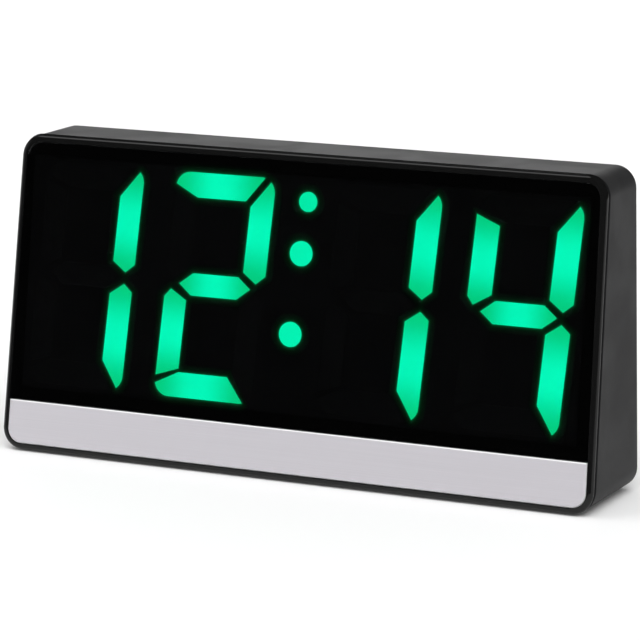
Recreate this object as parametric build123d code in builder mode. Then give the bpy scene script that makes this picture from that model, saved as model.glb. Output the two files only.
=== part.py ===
from build123d import *

import math
import os

os.makedirs("parts", exist_ok=True)

# A digital desk clock: a wedge-shaped case with a smoked window over four LED digits.
# The frame: X to the right seen from the front, Y towards the back, Z up, millimetres.
# The origin lies on the table under the middle of the clock.

# Case: its front leans back and its sides draw in towards the top
base_width = 217.0
top_width = 213.0
case_height = 106.3
lean_angle = 8.5
corner_radius = 7.2
wall = 2.2
rear_edge_radius = 1.2
rim_edge_radius = 0.4

# Clearances
fit_gap = 0.25
overrun = 5.0

# Feet
foot_diameter = 10.0
foot_height = 0.6
foot_seat_depth = 0.8
foot_side_inset = 16.0
foot_end_inset = 8.0

# Front bezel
bezel_depth = 3.0
bezel_margin = 2.1
bezel_edge_radius = 1.5
groove_width = 0.4
groove_depth = 0.5
tongue_depth = 2.4
catch_length = 20.0
catch_width = 1.0
catch_height = 0.9
catch_spacing = 70.0
catch_count = 3

# Window and trim strip, both set into the bezel
panel_recess = 0.3
panel_gap = 0.1
lens_thickness = 1.6
strip_height = 15.0
strip_thickness = 1.0
strip_bevel = 0.35

# Digits, measured on the leaning face: they fill the window up to these gaps and margins
digit_gap = 12.32
colon_gap = 23.4
display_side_margin = 5.143
display_top_margin = 6.28
display_low_margin = 6.5
display_offset = -0.6
slant_angle = 3.4
dot_slant_angle = 4.7
segment_width = 8.45
segment_clearance = 0.08
segment_thickness = 1.2
waist_rise = 0.35
colon_dot_diameter = 8.4
indicator_diameter = 6.7
indicator_drop = 6.9

# Ends of the segments and the rounding of a digit's corners, as shares of the segment width
bar_shoulder_share = 0.50
top_tip_share = 0.46
top_heel_share = 0.22
low_tip_share = 0.37
low_heel_share = 0.18
upper_heel_share = 0.19
upper_mitre_share = 0.083
lower_heel_share = 0.165
lower_mitre_share = 0.178
side_foot_share = 0.55
side_tip_share = 0.395
side_tip_rise_share = 0.225
side_toe_share = 0.65
left_tip_share = 0.27
upper_left_share = 0.26
lower_left_share = 0.19
left_heel_share = 0.14
middle_tip_share = 0.60
middle_shoulder_share = 0.17
middle_half_share = 0.447
digit_corner_share = 0.615

# Places of the colon's dots and of the light sources, as shares of half a digit's height and width
colon_rise_share = 0.355
led_spread_share = 0.28

# Reflector block with the light wells, and the board behind it
reflector_depth = 9.0
reflector_rim = 1.6
reflector_gap = 0.4
display_board_thickness = 1.6
display_board_margin = 1.2
display_board_skirt = 5.3
led_length = 3.2
led_width = 2.6
led_height = 1.2
display_post_diameter = 4.4
display_post_drop = 2.7
display_post_inset = 17.0
display_post_count = 4
board_hook_width = 8.0
board_hook_thickness = 1.2
board_hook_bite = 1.0
board_hook_spacing = 60.0
board_hook_count = 3

# Clock chip and crystal on the back of the display board
chip_length = 18.0
chip_width = 7.5
chip_height = 2.4
chip_across = -46.0
chip_rise = 6.0
crystal_diameter = 3.0
crystal_length = 8.0
crystal_space = 5.0

# Case screws, from the back into posts on the bezel
case_screw_inset = 11.5
case_screw_rise = 8.9
case_boss_diameter = 9.0
case_post_diameter = 7.0
case_post_length = 9.0
case_seat_thickness = 3.0
case_shank_diameter = 2.9
case_shank_length = 10.0
case_head_diameter = 5.6
case_head_height = 2.0
case_head_gap = 0.4

# Small screws that hold the two boards
board_shank_diameter = 1.9
board_shank_length = 6.0
board_head_diameter = 3.6
board_head_height = 1.4
screw_gap = 0.05

# Battery bay: two rows of cells, two cells to a row
cell_diameter = 14.5
cell_length = 50.5
nub_diameter = 5.5
nub_length = 1.2
cell_edge_radius = 0.6
cell_gap = 0.4
cell_row_count = 2
bay_wall = 1.6
bay_space = 3.505
divider_thickness = 1.6
plate_thickness = 0.4
plate_size = 9.0
leaf_reach = 4.5
leaf_width = 6.0

# Battery door, hinged on two tabs at its lower edge
door_rise = 7.4
door_thickness = 2.0
door_ledge = 2.0
door_gap = 0.3
door_corner_radius = 1.2
tab_width = 9.0
tab_thickness = 1.2
tab_drop = 2.5
tab_root = 1.5
tab_spacing = 70.0
latch_width = 14.0
latch_length = 11.0
latch_slot = 1.0
latch_rise = 1.6
latch_tip_thickness = 1.1
notch_radius = 10.0
notch_depth = 1.4
grip_count = 3
grip_pitch = 1.6
grip_width = 0.7
grip_depth = 0.4

# Recessed control panel on the back
control_rise = 71.0
control_recess = 1.0
panel_height = 15.0
panel_corner_radius = 2.5
panel_end = 9.5

# Push buttons and the switches under them
button_pitch = 16.0
button_first = -54.0
button_length = 9.0
button_height = 5.0
button_gap = 0.3
button_proud = 0.7
button_edge_radius = 0.6
button_travel = 0.5
flange_rim = 1.3
flange_thickness = 1.0
flange_gap = 0.1
plunger_diameter = 3.4
plunger_length = 1.5
plunger_root = 1.0
plunger_gap = 0.05
tact_size = 6.0
tact_height = 3.5

# Slide switch
slide_space = 13.2
slide_travel = 3.0
grip_length = 4.0
grip_height = 3.4
slide_flange_length = 12.0
slide_flange_height = 6.0
slide_flange_thickness = 0.8
slide_body_length = 9.0
slide_body_height = 4.0
lever_size = 1.6
lever_dip = 0.7
slide_gap = 0.3
rib_count = 3
rib_pitch = 1.1
rib_width = 0.5
rib_depth = 0.4

# Power socket
socket_space = 9.23
socket_width = 8.94
socket_height = 3.26
socket_shell = 0.3
socket_base = 1.2
socket_set_back = 0.2
socket_hole_gap = 0.35
socket_tongue_width = 6.7
socket_tongue_thickness = 0.7
socket_tongue_set_back = 1.0

# Buzzer and its sound holes
buzzer_space = 9.53
buzzer_diameter = 12.0
buzzer_height = 6.5
buzzer_mouth_diameter = 2.6
buzzer_mouth_depth = 2.0
sound_hole_diameter = 1.6
sound_ring_radius = 3.6
sound_hole_count = 6

# Control board
control_board_edge = 4.0
control_board_height = 18.0
control_board_thickness = 1.6
control_post_gap = 1.5
control_post_diameter = 5.0

# Wiring
ribbon_across = 20.0
ribbon_width = 12.0
ribbon_thickness = 0.9
ribbon_bend_radius = 2.5
ribbon_drop = 12.0
ribbon_reach = 3.6
ribbon_edge = 4.0
lead_diameter = 1.5
lead_across = 40.0
lead_spacing = 5.0
lead_stand_off = 3.8
lead_bend_radius = 2.2
lead_edge = 5.0

# Places that follow from the sizes above
lean = math.radians(lean_angle)
side_lean = math.atan2((base_width - top_width) / 2, case_height)
slant = math.tan(math.radians(slant_angle))
dot_slant = math.tan(math.radians(dot_slant_angle))
narrowing = math.cos(lean) * math.tan(side_lean)
base_z = foot_height
top_z = base_z + case_height
face_length = case_height / math.cos(lean)
tongue_end = bezel_depth + tongue_depth
seam = bezel_margin + strip_height
lens_back = panel_recess + lens_thickness
board_front = lens_back + reflector_depth
board_back = board_front + display_board_thickness

# Battery bay, worked out from the cells
cell_radius = cell_diameter / 2
channel_radius = cell_radius + cell_gap
row_pitch = cell_diameter + cell_gap
half_bay = cell_length + plate_thickness + leaf_reach
bay_width = 2 * half_bay + divider_thickness
bay_height = (cell_row_count - 1) * row_pitch + 2 * channel_radius
bay_depth = bay_wall + 2 * channel_radius + door_thickness
pocket_width = bay_width + 2 * door_ledge
pocket_height = bay_height + 2 * door_ledge
pocket_low = base_z + door_rise
pocket_high = pocket_low + pocket_height
bay_z = pocket_low + pocket_height / 2
bay_top = pocket_high + bay_wall

# The case is as deep as the display, a free space and the bay need at the top of the bay
body_depth = (bay_top - base_z) * math.tan(lean) + board_back / math.cos(lean) + bay_space + bay_depth
rear_y = body_depth / 2
inner_rear_y = rear_y - wall
face_normal = Vector(0, -math.cos(lean), math.sin(lean))
face_axis = Axis((0, 0, 0), face_normal)
face_plane = Plane(origin=(0, -rear_y, base_z), x_dir=(1, 0, 0), z_dir=face_normal)

# The display fills the window, and is as wide as the narrower end of the window allows
display_low = seam + display_low_margin
display_high = face_length - bezel_margin - display_top_margin
digit_height = display_high - display_low
display_middle = (display_low + display_high) / 2
display_waist = display_middle + waist_rise
reflector_height = digit_height + 2 * reflector_rim
reflector_low = display_low - reflector_rim
reflector_high = display_high + reflector_rim
narrow_end = max(reflector_low * narrowing, reflector_high * narrowing)
reflector_half = base_width / 2 - narrow_end - display_side_margin
digits_half = reflector_half - reflector_rim - (digit_height / 2 + waist_rise) * slant
digit_width = (digits_half - digit_gap - colon_gap / 2) / 2
digit_pitch = digit_width + digit_gap
pair_spacing = digit_width + colon_gap


def upright(y):
    """Upright plane across the clock at depth y; what is extruded from it grows forwards."""
    return Plane.XZ.offset(-y)


def behind_face(depth):
    """Plane parallel to the leaning front face, that far behind it."""
    return face_plane.offset(-depth)


def face_y(depth, z):
    """Depth in the clock of a point at height z on the plane behind the front face."""
    return -rear_y + (z - base_z) * math.tan(lean) + depth / math.cos(lean)


def spread(count, spacing):
    """Evenly spaced places about zero."""
    return [(index - (count - 1) / 2) * spacing for index in range(count)]


def outline(inset, y):
    """Outline of the case seen from the front, drawn in by the inset."""
    low = base_z + inset
    high = top_z - inset
    side = inset / math.cos(side_lean)
    low_half = base_width / 2 - inset * math.tan(side_lean) - side
    high_half = top_width / 2 + inset * math.tan(side_lean) - side
    with BuildSketch(upright(y)) as drawn:
        with BuildLine():
            Polyline((-low_half, low), (low_half, low), (high_half, high), (-high_half, high), close=True)
        make_face()
        fillet(drawn.vertices(), corner_radius - inset)
    return drawn.sketch


def slab(inset, near, far):
    """Slice of the case's outline between two planes parallel to the front face."""
    with BuildPart() as drawn:
        extrude(outline(inset, rear_y), amount=body_depth + overrun)
        split(bisect_by=behind_face(near), keep=Keep.BOTTOM)
        split(bisect_by=behind_face(far), keep=Keep.TOP)
    return drawn.part


def panel(depth, low, high, inset, rounded_end):
    """Panel on the front between two heights, with the corners of one end rounded."""
    low_half = base_width / 2 - low * narrowing - inset
    high_half = base_width / 2 - high * narrowing - inset
    with BuildSketch(behind_face(depth)) as drawn:
        with BuildLine():
            Polyline((-low_half, low), (low_half, low), (high_half, high), (-high_half, high), close=True)
        make_face()
        fillet(drawn.vertices().group_by(Axis.Y)[rounded_end], corner_radius - inset)
    return drawn.sketch


# The seven segments of one digit, about the digit's waist and not yet slanted
half_width = digit_width / 2
upper_half = digit_height / 2 - waist_rise
lower_half = digit_height / 2 + waist_rise
inner_half_width = half_width - segment_width


def of_segment(share):
    """Share of the segment's width."""
    return share * segment_width


def end_bar(height, tip_share, heel_share):
    """Bar at the end of a digit's half of that height."""
    inner_height = height - segment_width
    return [
        (-half_width, inner_height + of_segment(bar_shoulder_share)),
        (-half_width, height),
        (half_width - of_segment(tip_share), height),
        (inner_half_width - of_segment(heel_share), inner_height),
        (-inner_half_width, inner_height),
    ]


def right_side(height, heel_share, mitre_share):
    """Right side of a digit's half of that height."""
    return [
        (inner_half_width, height - of_segment(1 + heel_share)),
        (half_width - of_segment(mitre_share), height),
        (half_width, height),
        (half_width, of_segment(side_foot_share)),
        (half_width - of_segment(side_tip_share), of_segment(side_tip_rise_share)),
        (inner_half_width, of_segment(side_toe_share)),
    ]


def left_side(height, shoulder_share):
    """Left side of a digit's half of that height."""
    return [
        (-half_width, height - of_segment(1 - shoulder_share)),
        (-inner_half_width, height - of_segment(1 + left_heel_share)),
        (-inner_half_width, of_segment(side_toe_share)),
        (of_segment(left_tip_share) - half_width, of_segment(side_tip_rise_share)),
        (-half_width, of_segment(side_foot_share)),
    ]


middle_tip = half_width - of_segment(middle_tip_share)
middle_shoulder = inner_half_width - of_segment(middle_shoulder_share)
middle_half = of_segment(middle_half_share)
middle_bar = [
    (-middle_tip, 0),
    (-middle_shoulder, middle_half),
    (middle_shoulder, middle_half),
    (middle_tip, 0),
    (middle_shoulder, -middle_half),
    (-middle_shoulder, -middle_half),
]


def flipped(points):
    """The same outline below the digit's waist."""
    return [(across, -up) for across, up in points]


segment_outlines = {
    "a": end_bar(upper_half, top_tip_share, top_heel_share),
    "b": right_side(upper_half, upper_heel_share, upper_mitre_share),
    "c": flipped(right_side(lower_half, lower_heel_share, lower_mitre_share)),
    "d": flipped(end_bar(lower_half, low_tip_share, low_heel_share)),
    "e": flipped(left_side(lower_half, lower_left_share)),
    "f": left_side(upper_half, upper_left_share),
    "g": middle_bar,
}
side_middle = half_width - segment_width / 2
segment_middles = {
    "a": (0, upper_half - segment_width / 2),
    "b": (side_middle, upper_half / 2),
    "c": (side_middle, -lower_half / 2),
    "d": (0, segment_width / 2 - lower_half),
    "e": (-side_middle, -lower_half / 2),
    "f": (-side_middle, upper_half / 2),
    "g": (0, 0),
}
digits = {
    "hour_tens": (-pair_spacing / 2 - digit_pitch, "bc"),
    "hour_units": (-pair_spacing / 2, "abdeg"),
    "minute_tens": (pair_spacing / 2, "bc"),
    "minute_units": (pair_spacing / 2 + digit_pitch, "bcfg"),
}


def on_display(across, up):
    """Place on the face of a point of the slanted display, with its height from the digits' waist."""
    return (display_offset + across + up * slant, display_waist + up)


def dot_place(up):
    """Place on the face of a dot; the dots lean more than the digits."""
    return (display_offset + up * dot_slant, display_waist + up)


digit_ends = (-lower_half, upper_half, upper_half, -lower_half)
digit_sides = (-half_width, -half_width, half_width, half_width)
with BuildSketch() as digit_outline:
    with BuildLine():
        Polyline(*[on_display(across, up) for across, up in zip(digit_sides, digit_ends)], close=True)
    make_face()
    fillet(digit_outline.vertices(), of_segment(digit_corner_share))


def segment(letter, digit_across, shrink):
    """Outline of one segment of one digit, drawn in by the shrink."""
    points = [on_display(digit_across + across, up) for across, up in segment_outlines[letter]]
    with BuildSketch() as drawn:
        with BuildLine():
            Polyline(*points, close=True)
        make_face()
        with Locations((digit_across, 0)):
            add(digit_outline.sketch, mode=Mode.INTERSECT)
        if shrink:
            offset(amount=-shrink, mode=Mode.REPLACE)
    return drawn.sketch


colon_rise = colon_rise_share * digit_height / 2
colon_places = [dot_place(colon_rise), dot_place(-colon_rise)]
indicator_place = dot_place(upper_half - indicator_drop)

# Front bezel: a rounded frame, a groove behind it, and a tongue that enters the case
bezel_front = slab(0, 0, bezel_depth - groove_width)
bezel_neck = slab(groove_depth, bezel_depth - groove_width, bezel_depth)
bezel_tongue = slab(wall + fit_gap, bezel_depth, tongue_end)
tongue_top = top_z - wall - fit_gap
catch_y = face_y(bezel_depth + tongue_depth / 2, tongue_top)
case_screw_z = base_z + case_screw_rise
case_post_root = face_y(bezel_depth, case_screw_z)
case_post_end = face_y(tongue_end, case_screw_z) + case_post_length
case_screw_across = base_width / 2 - case_screw_inset
case_screw_places = [(-case_screw_across, case_screw_z), (case_screw_across, case_screw_z)]
display_post_v = reflector_low - display_post_drop
display_post_spacing = 2 * (reflector_half - display_post_inset) / (display_post_count - 1)
display_posts = [(place, display_post_v) for place in spread(display_post_count, display_post_spacing)]
display_board_high = reflector_high + display_board_margin
hook_low = display_board_high + fit_gap
hook_places = spread(board_hook_count, board_hook_spacing)

with BuildPart() as front_bezel:
    add(bezel_front)
    fillet(front_bezel.faces().sort_by(face_axis)[-1].edges(), bezel_edge_radius)
    add(bezel_neck)
    add(bezel_tongue)
    window_hole = panel(0, seam, face_length - bezel_margin, bezel_margin, -1)
    extrude(window_hole, amount=-lens_back, mode=Mode.SUBTRACT)
    strip_floor = panel_recess + strip_thickness
    extrude(panel(0, bezel_margin, seam, bezel_margin, 0), amount=-strip_floor, mode=Mode.SUBTRACT)
    with BuildSketch(face_plane):
        with Locations((display_offset, display_middle)):
            Rectangle(2 * (reflector_half + reflector_gap), reflector_height + 2 * reflector_gap)
    extrude(amount=-(tongue_end + overrun), mode=Mode.SUBTRACT)
    with BuildSketch(upright(case_post_end)):
        with Locations(*case_screw_places):
            Circle(case_post_diameter / 2)
    extrude(amount=case_post_end - case_post_root)
    with BuildSketch(upright(case_post_end)):
        with Locations(*case_screw_places):
            Circle(case_shank_diameter / 2 + screw_gap)
    extrude(amount=case_shank_length - case_seat_thickness + fit_gap, mode=Mode.SUBTRACT)
    with BuildSketch(behind_face(board_front)):
        with Locations(*display_posts):
            Circle(display_post_diameter / 2)
    extrude(amount=board_front - bezel_depth)
    with BuildSketch(behind_face(board_front)):
        with Locations(*display_posts):
            Circle(board_shank_diameter / 2 + screw_gap)
    extrude(amount=board_shank_length - display_board_thickness + fit_gap, mode=Mode.SUBTRACT)
    with BuildSketch(behind_face(bezel_depth)):
        with Locations(*[(place, hook_low) for place in hook_places]):
            Rectangle(board_hook_width, board_hook_thickness, align=(Align.CENTER, Align.MIN))
    extrude(amount=-(board_back + fit_gap + board_hook_thickness - bezel_depth))
    with BuildSketch(behind_face(board_back + fit_gap)):
        with Locations(*[(place, hook_low + board_hook_thickness) for place in hook_places]):
            hook_reach = board_hook_bite + fit_gap + board_hook_thickness
            Rectangle(board_hook_width, hook_reach, align=(Align.CENTER, Align.MAX))
    extrude(amount=-board_hook_thickness)
    with BuildSketch(Plane.XY.offset(tongue_top)):
        with Locations(*[(place, catch_y) for place in spread(catch_count, catch_spacing)]):
            Rectangle(catch_length, catch_width)
    extrude(amount=catch_height)
front_bezel.part.label = "front_bezel"
export_step(front_bezel.part, "parts/front_bezel.step")

# Smoked window
with BuildPart() as front_lens:
    lens_low = seam + panel_gap
    lens_high = face_length - bezel_margin - panel_gap
    extrude(panel(lens_back, lens_low, lens_high, bezel_margin + panel_gap, -1), amount=lens_thickness)
front_lens.part.label = "front_lens"
export_step(front_lens.part, "parts/front_lens.step")

# Silver strip with a bright bevel round its face
with BuildPart() as trim_strip:
    strip_low = bezel_margin + panel_gap
    strip_high = seam - panel_gap
    extrude(panel(strip_floor, strip_low, strip_high, bezel_margin + panel_gap, 0), amount=strip_thickness)
    chamfer(trim_strip.faces().sort_by(face_axis)[-1].edges(), strip_bevel)
trim_strip.part.label = "trim_strip"
export_step(trim_strip.part, "parts/trim_strip.step")

# Reflector block: one light well through it for each segment and each dot
with BuildPart() as display_reflector:
    with BuildSketch(behind_face(board_front)):
        with Locations((display_offset, display_middle)):
            Rectangle(2 * reflector_half, reflector_height)
    extrude(amount=reflector_depth)
    with BuildSketch(behind_face(board_front)):
        for digit_across, lit in digits.values():
            for letter in segment_outlines:
                add(segment(letter, digit_across, 0))
        with Locations(*colon_places):
            Circle(colon_dot_diameter / 2)
        with Locations(indicator_place):
            Circle(indicator_diameter / 2)
    extrude(amount=reflector_depth, mode=Mode.SUBTRACT)
display_reflector.part.label = "display_reflector"
export_step(display_reflector.part, "parts/display_reflector.step")

# Segment diffusers in the mouths of the wells, the lit and the dark ones of each digit apart
segment_back = behind_face(lens_back + segment_thickness)
for digit, (digit_across, lit) in digits.items():
    dark = [letter for letter in segment_outlines if letter not in lit]
    for state, letters in (("lit", lit), ("dark", dark)):
        with BuildPart() as segments:
            with BuildSketch(segment_back):
                for letter in letters:
                    add(segment(letter, digit_across, segment_clearance))
            extrude(amount=segment_thickness)
        segments.part.label = f"{digit}_{state}"
        export_step(segments.part, f"parts/{digit}_{state}.step")

with BuildPart() as colon_dots:
    with BuildSketch(segment_back):
        with Locations(*colon_places):
            Circle(colon_dot_diameter / 2 - segment_clearance)
    extrude(amount=segment_thickness)
colon_dots.part.label = "colon_dots"
export_step(colon_dots.part, "parts/colon_dots.step")

with BuildPart() as indicator_dot:
    with BuildSketch(segment_back):
        with Locations(indicator_place):
            Circle(indicator_diameter / 2 - segment_clearance)
    extrude(amount=segment_thickness)
indicator_dot.part.label = "indicator_dot"
export_step(indicator_dot.part, "parts/indicator_dot.step")

# Display board, its light sources, the clock chip and the crystal
display_board_low = reflector_low - display_board_skirt
with BuildPart() as display_board:
    with BuildSketch(behind_face(board_back)):
        with Locations((display_offset, display_board_low)):
            board_span = display_board_high - display_board_low
            Rectangle(2 * reflector_half, board_span, align=(Align.CENTER, Align.MIN))
        with Locations(*display_posts):
            Circle(board_shank_diameter / 2 + screw_gap, mode=Mode.SUBTRACT)
    extrude(amount=display_board_thickness)
display_board.part.label = "display_board"
export_step(display_board.part, "parts/display_board.step")

led_spread = led_spread_share * half_width
with BuildPart() as led_chips:
    with BuildSketch(behind_face(board_front)):
        for digit_across, lit in digits.values():
            for letter, (across, up) in segment_middles.items():
                along_bar = letter in "adg"
                for step in (-led_spread, led_spread):
                    led_across = digit_across + across + (step if along_bar else 0)
                    led_up = up + (0 if along_bar else step)
                    with Locations(on_display(led_across, led_up)):
                        Rectangle(led_length, led_width)
        with Locations(*colon_places, indicator_place):
            Rectangle(led_length, led_width)
    extrude(amount=led_height)
led_chips.part.label = "led_chips"
export_step(led_chips.part, "parts/led_chips.step")

chip_v = display_middle + chip_rise
with BuildPart() as clock_chip:
    with BuildSketch(behind_face(board_back)):
        with Locations((chip_across, chip_v)):
            Rectangle(chip_length, chip_width)
    extrude(amount=-chip_height)
clock_chip.part.label = "clock_chip"
export_step(clock_chip.part, "parts/clock_chip.step")

crystal_v = chip_v - chip_width / 2 - crystal_space
crystal_plane = behind_face(board_back + crystal_diameter / 2)
crystal_origin = crystal_plane.from_local_coords(Vector(chip_across, crystal_v, 0))
crystal_section = Plane(origin=crystal_origin, x_dir=face_plane.y_dir, z_dir=face_plane.x_dir)
with BuildPart() as timing_crystal:
    with BuildSketch(crystal_section):
        Circle(crystal_diameter / 2)
    extrude(amount=crystal_length / 2, both=True)
timing_crystal.part.label = "timing_crystal"
export_step(timing_crystal.part, "parts/timing_crystal.step")

with BuildPart() as display_screws:
    with BuildSketch(behind_face(board_back)):
        with Locations(*display_posts):
            Circle(board_head_diameter / 2)
    extrude(amount=-board_head_height)
    with BuildSketch(behind_face(board_back)):
        with Locations(*display_posts):
            Circle(board_shank_diameter / 2)
    extrude(amount=board_shank_length)
display_screws.part.label = "display_screws"
export_step(display_screws.part, "parts/display_screws.step")

# Places of the cells, the door and its tabs
door_seat_y = rear_y - door_thickness
cell_y = door_seat_y - channel_radius
bay_front_y = cell_y - channel_radius - bay_wall
cell_rows = [bay_z + place for place in spread(cell_row_count, row_pitch)]
door_low = pocket_low + door_gap
door_high = pocket_high - door_gap
tab_outer_y = inner_rear_y - fit_gap
tab_inner_y = tab_outer_y - tab_thickness
tab_swing = math.hypot(rear_y - tab_inner_y, tab_drop) - wall + fit_gap
tab_places = spread(2, tab_spacing)

# Places of the control panel and of the board behind it
control_z = base_z + control_rise
panel_floor_y = rear_y - control_recess
panel_inner_y = panel_floor_y - wall
flange_outer_y = panel_inner_y - flange_gap
flange_inner_y = flange_outer_y - flange_thickness
tact_top_y = flange_inner_y - plunger_length
control_back_y = tact_top_y - tact_height
control_front_y = control_back_y - control_board_thickness
button_names = ["set_button", "up_button", "down_button", "alarm_button"]
button_places = [(button_first + index * button_pitch, control_z) for index in range(len(button_names))]
button_last = button_places[-1][0]
slide_slot_length = grip_length + slide_travel + 2 * slide_gap
slide_middle = button_last + button_length / 2 + slide_space + slide_slot_length / 2
slide_across = slide_middle - slide_travel / 2
socket_across = slide_middle + slide_slot_length / 2 + socket_space + socket_width / 2
buzzer_across = socket_across + socket_width / 2 + buzzer_space + buzzer_diameter / 2
panel_left = button_first - panel_end
panel_right = socket_across + panel_end
panel_length = panel_right - panel_left
panel_middle = (panel_left + panel_right) / 2
post_reach = control_post_gap + control_post_diameter / 2
left_post = button_first - button_length / 2 - flange_rim - post_reach
right_post = buzzer_across + buzzer_diameter / 2 + post_reach
control_posts = [(left_post, control_z), (right_post, control_z)]
control_board_length = right_post - left_post + 2 * control_board_edge
control_board_middle = (left_post + right_post) / 2

# Rear housing: a wedge-shaped tub with the battery bay, bosses and control panel moulded in
foot_y_front = face_y(bezel_depth, base_z) + foot_end_inset
foot_y_rear = rear_y - foot_end_inset
foot_x = base_width / 2 - foot_side_inset
foot_places = [(x, y) for x in (-foot_x, foot_x) for y in (foot_y_front, foot_y_rear)]

with BuildPart() as rear_housing:
    extrude(outline(0, rear_y), amount=body_depth + overrun)
    fillet(rear_housing.faces().sort_by(Axis.Y)[-1].edges(), rear_edge_radius)
    split(bisect_by=behind_face(bezel_depth), keep=Keep.BOTTOM)
    extrude(outline(wall, inner_rear_y), amount=body_depth + overrun, mode=Mode.SUBTRACT)
    rim = rear_housing.faces().sort_by(face_axis)[-1]
    fillet(rim.outer_wire().edges(), rim_edge_radius)
    with BuildSketch(upright(inner_rear_y)):
        with Locations((0, bay_z)):
            Rectangle(pocket_width + 2 * bay_wall, pocket_height + 2 * bay_wall)
    extrude(amount=inner_rear_y - bay_front_y)
    with BuildSketch(upright(rear_y)):
        with Locations((0, bay_z)):
            RectangleRounded(pocket_width, pocket_height, door_corner_radius)
    extrude(amount=door_thickness, mode=Mode.SUBTRACT)
    with BuildSketch(Plane.YZ.offset(-bay_width / 2)):
        with Locations(*[(cell_y, row_z) for row_z in cell_rows]):
            Circle(channel_radius)
            Rectangle(rear_y - cell_y, 2 * channel_radius, align=(Align.MIN, Align.CENTER))
    extrude(amount=bay_width, mode=Mode.SUBTRACT)
    with BuildSketch(Plane.YZ.offset(-divider_thickness / 2)):
        with Locations((bay_front_y, bay_z)):
            Rectangle(door_seat_y - bay_front_y, pocket_height, align=(Align.MIN, Align.CENTER))
    extrude(amount=divider_thickness)
    slot_width = tab_width + 2 * fit_gap
    with BuildSketch(upright(inner_rear_y)):
        with Locations(*[(x, pocket_low) for x in tab_places]):
            Rectangle(slot_width, tab_drop + fit_gap, align=(Align.CENTER, Align.MAX))
    extrude(amount=tab_swing, mode=Mode.SUBTRACT)
    with BuildSketch(upright(door_seat_y)):
        with Locations(*[(x, pocket_low) for x in tab_places]):
            Rectangle(slot_width, door_ledge, align=(Align.CENTER, Align.MIN))
    extrude(amount=door_seat_y - inner_rear_y + tab_swing, mode=Mode.SUBTRACT)
    with BuildSketch(upright(rear_y)):
        with Locations((0, pocket_high)):
            Circle(notch_radius)
    extrude(amount=notch_depth, mode=Mode.SUBTRACT)
    with BuildSketch(upright(inner_rear_y)):
        with Locations((panel_middle, control_z)):
            Rectangle(panel_length + 2 * wall, panel_height + 2 * wall)
    extrude(amount=control_recess)
    with BuildSketch(upright(rear_y)):
        with Locations((panel_middle, control_z)):
            RectangleRounded(panel_length, panel_height, panel_corner_radius)
    extrude(amount=control_recess, mode=Mode.SUBTRACT)
    with BuildSketch(upright(rear_y)):
        with Locations(*button_places):
            SlotOverall(button_length + 2 * button_gap, button_height + 2 * button_gap)
        with Locations((slide_middle, control_z)):
            Rectangle(slide_slot_length, grip_height + 2 * slide_gap)
        with Locations((socket_across, control_z)):
            SlotOverall(socket_width + 2 * socket_hole_gap, socket_height + 2 * socket_hole_gap)
        with Locations((buzzer_across, control_z)):
            Circle(sound_hole_diameter / 2)
            with PolarLocations(sound_ring_radius, sound_hole_count):
                Circle(sound_hole_diameter / 2)
    extrude(amount=rear_y - panel_inner_y, mode=Mode.SUBTRACT)
    with BuildSketch(upright(control_back_y)):
        with Locations(*control_posts):
            Circle(control_post_diameter / 2)
    extrude(amount=control_back_y - inner_rear_y)
    with BuildSketch(upright(control_back_y)):
        with Locations(*control_posts):
            Circle(board_shank_diameter / 2 + screw_gap)
    extrude(amount=-(board_shank_length - control_board_thickness + fit_gap), mode=Mode.SUBTRACT)
    with BuildSketch(upright(case_post_end)):
        with Locations(*case_screw_places):
            Circle(case_boss_diameter / 2)
    extrude(amount=case_post_end - inner_rear_y)
    with Locations(*[Plane(origin=(x, rear_y, z), z_dir=(0, 1, 0)) for x, z in case_screw_places]):
        CounterBoreHole(
            radius=case_shank_diameter / 2 + screw_gap,
            counter_bore_radius=case_head_diameter / 2 + case_head_gap,
            counter_bore_depth=rear_y - case_post_end - case_seat_thickness,
            depth=rear_y - case_post_end,
        )
    with BuildSketch(Plane.XY.offset(base_z)):
        with Locations(*foot_places):
            Circle(foot_diameter / 2 + fit_gap)
    extrude(amount=foot_seat_depth, mode=Mode.SUBTRACT)
    with BuildSketch(Plane.XY.offset(top_z - wall)):
        with Locations(*[(place, catch_y) for place in spread(catch_count, catch_spacing)]):
            Rectangle(catch_length + 2 * fit_gap, catch_width + 2 * fit_gap)
    extrude(amount=catch_height, mode=Mode.SUBTRACT)
rear_housing.part.label = "rear_housing"
export_step(rear_housing.part, "parts/rear_housing.step")

with BuildPart() as rubber_feet:
    with BuildSketch(Plane.XY):
        with Locations(*foot_places):
            Circle(foot_diameter / 2)
    extrude(amount=foot_height + foot_seat_depth)
rubber_feet.part.label = "rubber_feet"
export_step(rubber_feet.part, "parts/rubber_feet.step")

case_head_y = case_post_end + case_seat_thickness
with BuildPart() as case_screws:
    with BuildSketch(upright(case_head_y)):
        with Locations(*case_screw_places):
            Circle(case_head_diameter / 2)
    extrude(amount=-case_head_height)
    with BuildSketch(upright(case_head_y)):
        with Locations(*case_screw_places):
            Circle(case_shank_diameter / 2)
    extrude(amount=case_shank_length)
case_screws.part.label = "case_screws"
export_step(case_screws.part, "parts/case_screws.step")

# Cells: the upper row has its nubs to the left, the lower row to the right
cell_ends = []
for row, row_z in enumerate(cell_rows):
    nub_side = 1 if row % 2 == 0 else -1
    for bay_side in (-1, 1):
        bay_middle = bay_side * (divider_thickness + half_bay) / 2
        cell_ends.append((bay_middle, row_z, nub_side))

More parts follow.
